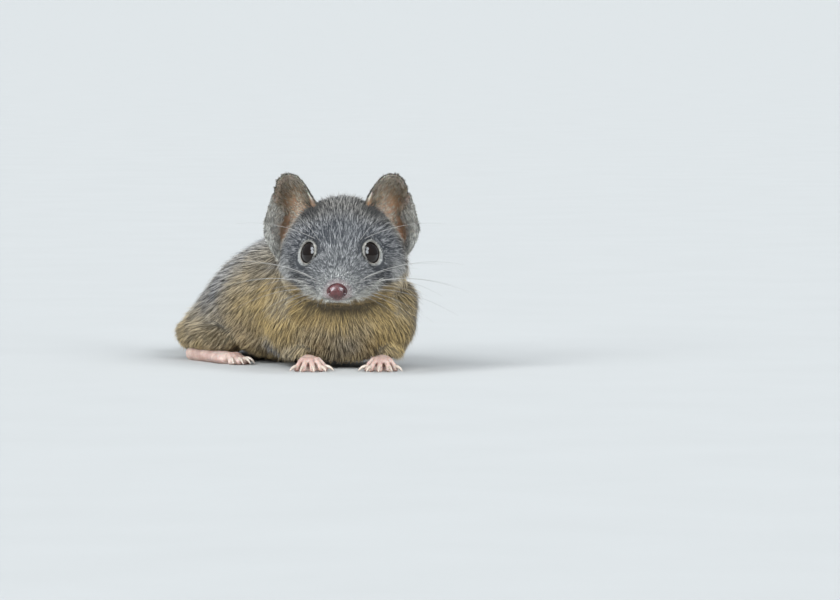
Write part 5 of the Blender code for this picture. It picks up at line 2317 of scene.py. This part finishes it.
class Nodes:
    """A material's or a group's node tree, with short ways to add and link."""

    def __init__(self, tree: NodeTree) -> None:
        """Keeps the tree that the nodes go into."""
        self.tree = tree

    def add(self, kind: str, **settings: object) -> Node:
        """A new node with some of its properties set.

        Args:
            kind: The node's type.
            settings: Its properties by name.

        Returns:
            The node.
        """
        node = self.tree.nodes.new(kind)
        for name, value in settings.items():
            setattr(node, name, value)
        return node

    def link(self, source: Socket, target: Socket) -> None:
        """Joins an output to an input."""
        self.tree.links.new(source, target)

    def feed(self, socket: Socket, value: object) -> None:
        """Sets an input to a number or colour, or links an output to it.

        Args:
            socket: The input.
            value: A number, a colour or an output.
        """
        if isinstance(value, Socket):
            self.link(value, socket)
        elif isinstance(value, tuple) and len(value) == 3:
            socket.default_value = (*value, 1.0)
        else:
            socket.default_value = value

    def mix(self, share: object, first: object, second: object, how: str = "MIX") -> Socket:
        """A mix of two colours.

        Args:
            share: How much of the second.
            first: The first colour.
            second: The second colour.
            how: The way they are mixed.

        Returns:
            The mixed colour's socket.
        """
        node = self.add("ShaderNodeMix", data_type="RGBA", blend_type=how)
        self.feed(node.inputs[0], share)
        self.feed(node.inputs[6], first)
        self.feed(node.inputs[7], second)
        return node.outputs[2]

    def sums(self, how: str, first: object, second: object = 0.0) -> Socket:
        """One step of arithmetic.

        Args:
            how: The operation.
            first: The first number.
            second: The second number.

        Returns:
            The result's socket.
        """
        node = self.add("ShaderNodeMath", operation=how)
        self.feed(node.inputs[0], first)
        self.feed(node.inputs[1], second)
        return node.outputs[0]

    def times(self, first: object, second: object) -> Socket:
        """A product."""
        return self.sums("MULTIPLY", first, second)

    def plus(self, first: object, second: object) -> Socket:
        """A sum of two."""
        return self.sums("ADD", first, second)

    def ramp(self, value: object, low: float, high: float) -> Socket:
        """A smooth step from 0 at low to 1 at high.

        Args:
            value: The value.
            low: Where the step starts.
            high: Where it ends.

        Returns:
            The step's socket.
        """
        node = self.add("ShaderNodeMapRange", interpolation_type="SMOOTHSTEP")
        self.feed(node.inputs[0], value)
        node.inputs[1].default_value = low
        node.inputs[2].default_value = high
        return node.outputs[0]

    def noise(self, scale: float, detail: float, stretch: tuple = (1.0, 1.0, 1.0)) -> Socket:
        """Noise over Object coordinates, in swells for each metre.

        Args:
            scale: Swells for each metre.
            detail: How many finer layers it has.
            stretch: Factors along the three axes.

        Returns:
            The noise's socket.
        """
        place = self.add("ShaderNodeTexCoord")
        mapping = self.add("ShaderNodeMapping")
        mapping.inputs["Scale"].default_value = stretch
        self.link(place.outputs["Object"], mapping.inputs["Vector"])
        node = self.add("ShaderNodeTexNoise")
        node.inputs["Scale"].default_value = scale
        node.inputs["Detail"].default_value = detail
        self.link(mapping.outputs[0], node.inputs["Vector"])
        return node.outputs["Fac"]

    def attribute(self, name: str) -> tuple[Socket, ...]:
        """The four numbers that a mesh stores under a name.

        Args:
            name: The attribute's name.

        Returns:
            Their four sockets.
        """
        node = self.add("ShaderNodeAttribute", attribute_name=name)
        split = self.add("ShaderNodeSeparateColor")
        self.link(node.outputs["Color"], split.inputs[0])
        return (*split.outputs, node.outputs["Alpha"])

    def bump(self, height: object, depth: float, strength: float) -> Socket:
        """A normal from heights.

        Args:
            height: Values from 0 to 1.
            depth: What 1 stands for, in metres.
            strength: How much of it is used.

        Returns:
            The normal's socket.
        """
        node = self.add("ShaderNodeBump")
        node.inputs["Strength"].default_value = strength
        node.inputs["Distance"].default_value = depth
        self.feed(node.inputs["Height"], height)
        return node.outputs["Normal"]


class Shading(Nodes):
    """A new material's nodes, with its Principled shader."""

    def __init__(self, name: str, constants: dict[str, object]) -> None:
        """Makes the material.

        Args:
            name: Its name.
            constants: The shader's inputs that stay the same all over, by their names.
        """
        self.material = bpy.data.materials.new(name)
        self.material.use_nodes = True
        super().__init__(self.material.node_tree)
        self.shader = self.tree.nodes["Principled BSDF"]
        for socket, value in constants.items():
            self.shader.inputs[socket].default_value = value

    def finish(self, colour: Socket, *relief: object) -> Material:
        """Links colour and relief to the shader.

        Args:
            colour: The base colour.
            relief: What `bump` takes, or nothing where the finish is smooth.

        Returns:
            The material.
        """
        self.link(colour, self.shader.inputs["Base Color"])
        if relief:
            self.link(self.bump(*relief), self.shader.inputs["Normal"])
        return self.material


@dataclass(frozen=True)
class CoatColours:
    """The coat's colours from root to tip, grey and ochre."""

    slate: Triple = (0.017, 0.0175, 0.021)
    umber: Triple = (0.072, 0.053, 0.028)
    grey: Triple = (0.034, 0.036, 0.042)
    straw: Triple = (0.185, 0.134, 0.064)
    cream: Triple = (0.345, 0.335, 0.330)
    ochre: Triple = (0.520, 0.365, 0.150)
    white: Triple = (0.700, 0.675, 0.610)
    black: Triple = (0.016, 0.015, 0.015)

    def group(self) -> NodeTree:
        """The node group that colours a hair, or the skin under it.

        Its inputs are the place along the hair, the hair's and the tuft's chance, whether it is
        a guard hair, and the marks ochre, pale and dark. A hair is dark at its root, as real hair
        is, and the dark root also paints the shade deep in the coat. Farther out it is grey or
        straw. Most guard hairs and a few others are cream or ochre instead.

        Returns:
            The group.
        """
        tree = bpy.data.node_groups.new("coat_colours", "ShaderNodeTree")
        for name in ("Along", "Chance", "Tuft", "Guard", "Ochre", "Pale", "Dark"):
            tree.interface.new_socket(name, in_out="INPUT", socket_type="NodeSocketFloat")
        tree.interface.new_socket("Colour", in_out="OUTPUT", socket_type="NodeSocketColor")
        nodes = Nodes(tree)
        given = nodes.add("NodeGroupInput").outputs
        along, chance, tuft, guard, ochre, pale, dark = (given[k] for k in range(7))
        mixed = nodes.plus(nodes.times(chance, 0.5), nodes.times(tuft, 0.5))
        mixed = nodes.plus(mixed, nodes.times(ochre, 0.16))
        light = nodes.times(nodes.ramp(mixed, 0.62, 0.92), 0.6)
        guards = nodes.times(guard, nodes.ramp(chance, 0.05, 0.25))
        ticked = nodes.sums("MAXIMUM", light, guards)
        plain = nodes.mix(ochre, self.grey, self.straw)
        bright = nodes.mix(ochre, self.cream, self.ochre)
        middle = nodes.mix(ticked, plain, bright)
        spared = nodes.times(nodes.ramp(chance, 0.1, 0.6), 0.65)
        paled = nodes.times(pale, nodes.plus(spared, 0.3))
        middle = nodes.mix(paled, middle, self.white)
        root = nodes.mix(ochre, self.slate, self.umber)
        root = nodes.mix(nodes.times(nodes.ramp(pale, 0.3, 1.0), 0.7), root, self.cream)
        # the dark root is partly the hair's own dark base and partly painted shade deep in the coat,
        # where the hairs overlap
        colour = nodes.mix(nodes.ramp(along, 0.12, 0.55), root, middle)
        dusky = nodes.times(nodes.ramp(along, 0.8, 1.0), nodes.ramp(chance, 0.9, 0.2))
        colour = nodes.mix(nodes.times(dusky, 0.6), colour, root)
        # the dark marks hold real dark hairs and painted shade: under the lower lids, under the jaw, and
        # behind the left shoulder
        colour = nodes.mix(nodes.times(dark, 0.85), colour, self.black)
        shade = nodes.plus(nodes.times(tuft, 0.24), 0.88)
        colour = nodes.mix(1.0, colour, shade, "MULTIPLY")
        nodes.link(colour, nodes.add("NodeGroupOutput").inputs[0])
        return tree


@dataclass(frozen=True)
class CoatFinish:
    """Soft hair, coloured along its length."""

    roughness: float = 0.55
    sheen: float = 0.12

    def make(self, colours: NodeTree) -> Material:
        """The material of every piece of coat.

        Args:
            colours: The node group that colours a hair.

        Returns:
            The material.
        """
        constants = {
            "Roughness": self.roughness,
            "Specular IOR Level": 0.35,
            "Sheen Weight": self.sheen,
            "Sheen Roughness": 0.4,
        }
        nodes = Shading("coat", constants)
        along, chance, tuft, guard = nodes.attribute("strand")
        ochre, pale, dark, _ = nodes.attribute("marks")
        group = nodes.add("ShaderNodeGroup", node_tree=colours)
        for socket, value in zip(group.inputs, (along, chance, tuft, guard, ochre, pale, dark)):
            nodes.feed(socket, value)
        return nodes.finish(group.outputs[0])


@dataclass(frozen=True)
class SkinFinish:
    """Skin under the coat, in the coat's root colours, pink where it is bare."""

    pink: Triple = (0.330, 0.225, 0.215)
    pink_deep: Triple = (0.200, 0.125, 0.125)

    def make(self, colours: NodeTree) -> Material:
        """The skin's material.

        Args:
            colours: The node group that colours a hair.

        Returns:
            The material.
        """
        nodes = Shading("skin", {"Roughness": 0.6})
        ochre, pale, dark, pink = nodes.attribute("marks")
        speckle = nodes.noise(2600.0, 3.0)
        group = nodes.add("ShaderNodeGroup", node_tree=colours)
        along = nodes.times(speckle, 0.5)
        for socket, value in zip(group.inputs, (along, speckle, 0.5, 0.0, ochre, pale, dark)):
            nodes.feed(socket, value)
        bare = nodes.mix(nodes.noise(900.0, 4.0), self.pink_deep, self.pink)
        colour = nodes.mix(nodes.times(pink, 0.85), group.outputs[0], bare)
        return nodes.finish(colour, nodes.noise(3800.0, 4.0), 0.00008, 0.5)


@dataclass(frozen=True)
class BareSkinFinish:
    """Soft bare skin with fine creases, on hands and feet."""

    colour: Triple = (0.640, 0.480, 0.410)
    deep: Triple = (0.470, 0.300, 0.250)
    crease: float = 1400.0

    def make(self) -> Material:
        """The bare skin's material.

        Returns:
            The material.
        """
        constants = {
            "Roughness": 0.5,
            "Subsurface Weight": 0.25,
            "Subsurface Radius": (0.0012, 0.0005, 0.0003),
            "Subsurface Scale": 0.5,
        }
        nodes = Shading("bare_skin", constants)
        blotch = nodes.ramp(nodes.noise(500.0, 5.0), 0.35, 0.7)
        colour = nodes.mix(blotch, self.deep, self.colour)
        return nodes.finish(colour, nodes.noise(self.crease, 6.0, (1.0, 2.2, 1.0)), 0.00015, 0.6)


@dataclass(frozen=True)
class LidFinish:
    """The lids: a wet dark edge against the eyeball, then cream skin with fine folds."""

    edge: Triple = (0.020, 0.013, 0.012)
    colour: Triple = (0.720, 0.650, 0.550)
    fold: Triple = (0.340, 0.290, 0.240)

    def make(self) -> Material:
        """The lids' material, which reads the place in their section.

        Returns:
            The material.
        """
        nodes = Shading("lids", {"Roughness": 0.45})
        place, *_ = nodes.attribute("marks")
        blotch = nodes.ramp(nodes.noise(2200.0, 4.0), 0.35, 0.7)
        colour = nodes.mix(blotch, self.fold, self.colour)
        colour = nodes.mix(nodes.ramp(place, 0.16, 0.3), self.edge, colour)
        return nodes.finish(colour, nodes.noise(3000.0, 5.0), 0.0001, 0.6)


@dataclass(frozen=True)
class EarFinish:
    """Thin ear skin, orange-brown in the cup, cream on rim and lobe, dull behind."""

    cup: Triple = (0.380, 0.225, 0.125)
    deep: Triple = (0.420, 0.215, 0.125)
    rim: Triple = (0.700, 0.640, 0.550)
    behind: Triple = (0.220, 0.180, 0.140)

    def make(self) -> Material:
        """The ear's material, which reads place across, outward, front and lobe.

        Returns:
            The material.
        """
        constants = {
            "Roughness": 0.5,
            "Subsurface Weight": 0.35,
            "Subsurface Radius": (0.0015, 0.0006, 0.0003),
            "Subsurface Scale": 0.6,
        }
        nodes = Shading("ear_skin", constants)
        _, outward, front, lobe = nodes.attribute("marks")
        blotch = nodes.ramp(nodes.noise(420.0, 5.0), 0.35, 0.65)
        inner = nodes.mix(nodes.ramp(outward, 0.55, 0.2), self.cup, self.deep)
        inner = nodes.mix(nodes.ramp(outward, 0.6, 0.98), inner, self.rim)
        inner = nodes.mix(nodes.times(lobe, 0.95), inner, self.rim)
        colour = nodes.mix(front, self.behind, inner)
        colour = nodes.mix(nodes.times(blotch, 0.35), colour, self.behind)
        return nodes.finish(colour, nodes.noise(1500.0, 6.0), 0.0002, 0.5)


@dataclass(frozen=True)
class NoseFinish:
    """Moist pebbled skin in dusky reds."""

    light: Triple = (0.105, 0.026, 0.026)
    deep: Triple = (0.046, 0.011, 0.011)

    def make(self) -> Material:
        """The nose's material.

        Returns:
            The material.
        """
        constants = {
            "Roughness": 0.27,
            "Specular IOR Level": 0.8,
            "Subsurface Weight": 0.15,
            "Subsurface Radius": (0.001, 0.0004, 0.0003),
            "Subsurface Scale": 0.5,
        }
        nodes = Shading("nose_pad", constants)
        blotch = nodes.ramp(nodes.noise(700.0, 4.0), 0.3, 0.75)
        colour = nodes.mix(blotch, self.deep, self.light)
        cells = nodes.add("ShaderNodeTexVoronoi", feature="SMOOTH_F1")
        cells.inputs["Scale"].default_value = 5200.0
        place = nodes.add("ShaderNodeTexCoord")
        nodes.link(place.outputs["Object"], cells.inputs["Vector"])
        return nodes.finish(colour, cells.outputs["Distance"], 0.00006, 0.5)


@dataclass(frozen=True)
class EyeFinish:
    """A wet black eye."""

    colour: Triple = (0.006, 0.005, 0.005)
    trace: Triple = (0.014, 0.008, 0.005)

    def make(self) -> Material:
        """The eye's material, with a trace of brown in it.

        Returns:
            The material.
        """
        constants = {"Roughness": 0.05, "Specular IOR Level": 0.42}
        nodes = Shading("eye", constants)
        return nodes.finish(nodes.mix(nodes.noise(900.0, 2.0), self.colour, self.trace))


@dataclass(frozen=True)
class HornFinish:
    """Claws and whiskers: pale, smooth and finely streaked."""

    name: str
    colour: Triple
    tint: Triple
    roughness: float = 0.3

    def make(self) -> Material:
        """The horn's material.

        Returns:
            The material.
        """
        constants = {"Roughness": self.roughness, "Coat Weight": 0.3}
        nodes = Shading(self.name, constants)
        streak = nodes.noise(1600.0, 3.0, (3.0, 1.0, 1.0))
        return nodes.finish(nodes.mix(streak, self.colour, self.tint))


# Studio


@dataclass(frozen=True)
class Studio:
    """A pale floor, soft light and a long lens nearly level with the animal."""

    frame_width: int = 840
    frame_height: int = 600
    nose_pixel: tuple[float, float] = (336.9, 292.6)
    mm_per_pixel: float = 0.17
    elevation: float = math.radians(3.0)
    distance: float = 1.0
    daylight: Triple = (0.87, 0.945, 1.0)
    horizon: Triple = (0.20, 0.22, 0.24)
    zenith: Triple = (0.20, 0.23, 0.27)
    floor_half: float = 60.0
    floor_shades: tuple[Triple, Triple] = ((0.50, 0.485, 0.465), (0.53, 0.515, 0.495))
    # name, azimuth, elevation, width, power
    suns: tuple = (
        ("over", -25.0, 66.0, 70.0, 1.3),
        ("sky_right", -42.0, 22.0, 26.0, 2.1),
        ("sky_right_high", -56.0, 42.0, 22.0, 1.4),
        ("sky_left", 36.0, 22.0, 26.0, 1.9),
        ("sky_left_high", 50.0, 42.0, 22.0, 1.3),
    )

    def camera(self) -> None:
        """Places the camera so that the nose falls on its pixel."""
        scale = self.mm_per_pixel * METRES_PER_MM
        sin, cos = math.sin(self.elevation), math.cos(self.elevation)
        look, up = np.array((0.0, cos, -sin)), np.array((0.0, sin, cos))
        nose = STANCE.carry(np.array(HEAD.nose))
        right = (self.frame_width / 2 - self.nose_pixel[0]) * scale
        down = (self.frame_height / 2 - self.nose_pixel[1]) * scale
        target = nose + np.array((right, 0.0, 0.0)) - up * down
        data = bpy.data.cameras.new("camera")
        data.sensor_width = 36.0
        data.lens = 36.0 * self.distance / (self.frame_width * scale)
        data.clip_start, data.clip_end = 0.01, 200.0
        obj = new_object("camera", data)
        obj.location = target - look * self.distance
        obj.rotation_euler = (math.pi / 2 - self.elevation, 0.0, 0.0)
        bpy.context.scene.camera = obj

    def sun(self, name: str, azimuth: float, elevation: float, width: float, power: float) -> None:
        """A soft light from far away.

        Args:
            name: The light's name.
            azimuth: Degrees to the animal's left of the camera.
            elevation: Degrees over the floor.
            width: How many degrees wide it looks from the animal.
            power: What it brings to a face turned to it, in watts for each square metre.
        """
        data = bpy.data.lights.new(name, "SUN")
        data.angle = math.radians(width)
        data.energy = power
        data.color = self.daylight
        obj = new_object(name, data)
        obj.rotation_euler = (math.radians(90.0 - elevation), 0.0, math.radians(azimuth))

    def floor(self) -> None:
        """A wide pale floor."""
        corners = self.floor_half * np.array(((-1, -1, 0), (1, -1, 0), (1, 1, 0), (-1, 1, 0)))
        mesh = fill_mesh("floor", corners, np.array(((0, 1, 2, 3),)), np.zeros((0, 3), int))
        obj = new_object("floor", mesh)
        constants = {"Roughness": 0.9, "Specular IOR Level": 0.0}
        nodes = Shading("floor", constants)
        shade = nodes.mix(nodes.noise(40.0, 3.0), *self.floor_shades)
        mesh.materials.append(nodes.finish(shade))

    def build(self) -> None:
        """Sets up floor, lights, sky and camera."""
        self.floor()
        self.camera()
        for light in self.suns:
            self.sun(*light)
        world = bpy.data.worlds.new("sky")
        world.use_nodes = True
        nodes = Nodes(world.node_tree)
        way = nodes.add("ShaderNodeTexCoord")
        height = nodes.add("ShaderNodeSeparateXYZ")
        nodes.link(way.outputs["Generated"], height.inputs[0])
        shade = nodes.mix(nodes.ramp(height.outputs["Z"], 0.05, 0.45), self.horizon, self.zenith)
        nodes.link(shade, world.node_tree.nodes["Background"].inputs["Color"])
        bpy.context.scene.world = world
        bpy.context.scene.view_settings.view_transform = "Standard"


def main() -> None:
    """Builds the animal and its studio."""
    logging.basicConfig(level=logging.INFO, format="%(message)s")
    colours = CoatColours().group()
    coat = CoatFinish().make(colours)
    skin = Skin()
    obj = skin.build()
    obj.data.materials.append(SkinFinish().make(colours))
    settle(obj, "grizzled_coat", *skin.nodes)
    thinning = 1.0
    for part in Coat(skin, coat, thinning).build():
        settle(part, "grizzled_coat")
    Eyes().build(EyeFinish().make(), LidFinish().make(), coat)
    Nose().build(NoseFinish().make())
    Ears().build(EarFinish().make(), coat)
    claws = HornFinish("claws", (0.70, 0.60, 0.50), (0.52, 0.40, 0.32))
    Feet().build(BareSkinFinish().make(), claws.make())
    Whiskers().build(HornFinish("whiskers", (0.40, 0.38, 0.35), (0.20, 0.18, 0.16), 0.45).make())
    Studio().build()


if __name__ == "__main__":
    main()
